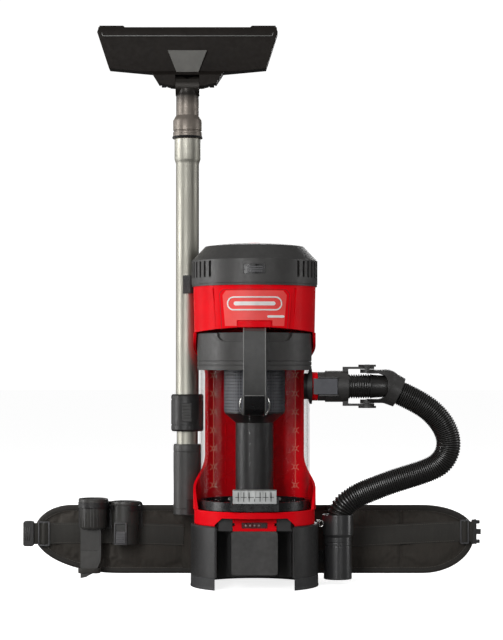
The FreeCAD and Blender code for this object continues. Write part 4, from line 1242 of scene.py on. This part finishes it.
def make_handle_trim():
    """Raised rims along the handle and a line on its foot, their lighter grey a painted highlight, the foot's
    plate, and bright steel bars on the sprung clear ears that hold its foot, standing in for the ears'
    highlight.
    """
    rims = []
    for side in (-1, 1):
        # lighter rims: painted highlight on the handle's edges
        path = evenly([Vector((side * 17.7 * MM, y * MM, z * MM)) for y, z in HANDLE_FRONT], 3 * MM)
        rims.append(ribbon(path, oval(1.7 * MM, 1.5 * MM), X))
    piece("handle_rim_highlights", merged(*rims), highlight_grey, "bin", 0, 50)
    places = ((-134.4, 322), (-130.6, 312.2), (-118.6, 300), (-106.4, 291.4))
    foot = [Vector((0, y * MM, z * MM)) for y, z in places]
    plate = [(b, a) for a, b in oval(32.4 * MM, 1.6 * MM)]
    piece("handle_foot", ribbon(evenly(foot, 2 * MM), plate, X), lid_black, "bin", 0, 50)
    line = tube_between(Vector((-15.4, -134.6, 322.4)) * MM, Vector((15.4, -134.6, 322.4)) * MM, 0.8 * MM)
    piece("handle_foot_highlight", line, highlight_grey, "bin", 0, 50)
    # bright steel bars on the clear ears: painted highlight
    bent = ((19.4, -116, 320), (22.4, -117.5, 318), (24.6, -117.5, 308), (23.0, -115.5, 297),
            (18.8, -112.5, 291))
    ears = []
    for side in (-1, 1):
        path = [Vector((side * x, y, z)) * MM for x, y, z in bent]
        ears.append(ribbon(route_line(path), oval(2.6 * MM, 1.8 * MM), Y))
    piece("handle_ear_highlights", merged(*ears), looks["bright_steel"], "bin", 0, 50)


def make_latch_ribs():
    """Upright ribs moulded in the lid latch, and a lighter lip along its top edge, a painted highlight."""
    front, back = -103.6 * MM, -101.5 * MM
    ribs = []
    for x in range(-27, 28, 9):
        ribs.append(block((x - 0.5) * MM, (x + 0.5) * MM, front, back, 148 * MM, 163 * MM, 0.3 * MM))
    ribs.append(block(-32 * MM, 32 * MM, -103.3 * MM, -101.4 * MM, 154.6 * MM, 155.4 * MM, 0.2 * MM))
    piece("latch_ribs", merged(*ribs), looks["black_plastic"], "lid_latch", 0, 30)
    # lighter lip: painted highlight on the latch's top edge
    lip = block(-35 * MM, 35 * MM, -101.6 * MM, -98.6 * MM, 165.6 * MM, 167.4 * MM, 0.4 * MM)
    piece("latch_lip_highlight", lip, highlight_grey, "lid_latch", 0.2 * MM)


def make_nozzle_trim():
    """Raised lines along the floor tool's bumper and sheets on its end facets, both lighter as painted
    highlights, and the rubber seal at the foot of its neck.
    """
    low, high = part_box("nozzle_head")
    mid = (low.x + high.x) / 2
    y = low.y + 4.2 * MM
    ends = {side: Vector((mid + side * 147 * MM, y, 944 * MM)) for side in (-1, 1)}
    lines = [tube_between(ends[-1], ends[1], 0.8 * MM)]
    for side, start in ends.items():
        corner = Vector((mid + side * 152.5 * MM, y + 6 * MM, 961 * MM))
        lines.append(tube_between(start, corner, 0.8 * MM))
    # lighter line: painted highlight along the bumper's edge
    piece("bumper_highlight_line", merged(*lines), highlight_grey, "nozzle", 0, 50)
    # lighter sheets on the bumper's end facets: painted highlights
    facets = []
    for side in (-1, 1):
        corners = [(148.5, 4.6, 945), (155.8, 11.6, 960.6), (155.2, 13.4, 949.6)]
        ring = [Vector((mid + side * x * MM, low.y + y * MM, z * MM)) for x, y, z in corners]
        facets.append(slab(ring, Vector((-side * 0.8 * MM, 1.6 * MM, 0))))
    piece("bumper_facet_highlights", merged(*facets), hood_grey, "nozzle", 0, 30)
    foot, r = 765.4 * MM, 25 * MM
    seal = [(r - 1.2 * MM, foot + 0.4 * MM), (r + 0.9 * MM, foot + 0.6 * MM), (r + 1.6 * MM, foot + 2.4 * MM),
            (r + 0.9 * MM, foot + 4.4 * MM), (r - 1.2 * MM, foot + 4.8 * MM)]
    bead = [(r - 1.2 * MM, foot + 8.2 * MM), (r + 0.5 * MM, foot + 8.8 * MM), (r - 1.2 * MM, foot + 9.4 * MM)]
    wand = centre("wand_outer_tube")
    at = Vector((wand.x, wand.y, 0))
    rings = merged(turned(seal, at), turned(bead, at))
    piece("neck_seal", rings, lid_black, "nozzle_swivel", 0, 40)


def upright(x, y, z0, z1, r):
    """Upright round bar."""
    return tube_between(Vector((x, y, z0)), Vector((x, y, z1)), r)


def raised_frame(x0, x1, z0, z1, y, r):
    """Rectangle of thin rounded bars on a face that looks towards -Y."""
    bars = [upright(x, y, z0, z1, r) for x in (x0, x1)]
    bars += [tube_between(Vector((x0, y, z)), Vector((x1, y, z)), r) for z in (z0, z1)]
    return merged(*bars)


def make_slider_frame():
    """Raised frame of the brush tool's slider window, its lighter grey a painted highlight on the edges."""
    low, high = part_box("brush_slider")
    rim = raised_frame(low.x - 1.6 * MM, high.x + 1.6 * MM, 63.6 * MM, 99.4 * MM, low.y + 1.4 * MM, 0.8 * MM)
    # lighter frame: painted edge highlight
    piece("slider_highlight_frame", rim, looks["grey_plastic"], "brush_tool", 0, 50)


def make_buckle_trim():
    """Raised rims of the belt's sliders, their lighter grey a painted edge highlight, and finger ridges on
    the buckle's socket.
    """
    sliders = (("buckle_socket", "left_wing", (-377.4, -359.6, 56.6, 97.4)),
               ("buckle_plug", "right_wing", (361.6, 374.4, 60.6, 100.4)))
    for node, body, ends in sliders:
        x0, x1, z0, z1 = (value * MM for value in ends)
        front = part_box(node)[0].y
        bar = upright((x0 + x1) / 2, front, z0, z1, 0.9 * MM)
        rim = merged(raised_frame(x0, x1, z0, z1, front, 0.9 * MM), bar)
        # lighter rims: painted edge highlights
        piece(f"slider_highlight_rim_{body}", rim, looks["grey_plastic"], body, 0, 50)
    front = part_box("buckle_socket")[0].y
    ridges = [upright(x * MM, front, 66 * MM, 88 * MM, 0.8 * MM) for x in (-401, -397.5, -394)]
    piece("buckle_ridges", merged(*ridges), tool_black, "left_wing", 0, 50)


make_camera()
make_stage()
make_hose()
make_bellows()
make_pads()
make_belt()
make_strap_trim()
make_handle_trim()
make_latch_ribs()
make_nozzle_trim()
make_slider_frame()
make_buckle_trim()
make_honeycomb()
make_screen()
make_cap_liner()
make_badges()
make_gauge()
make_screws()
make_keeper()
dress_cad()
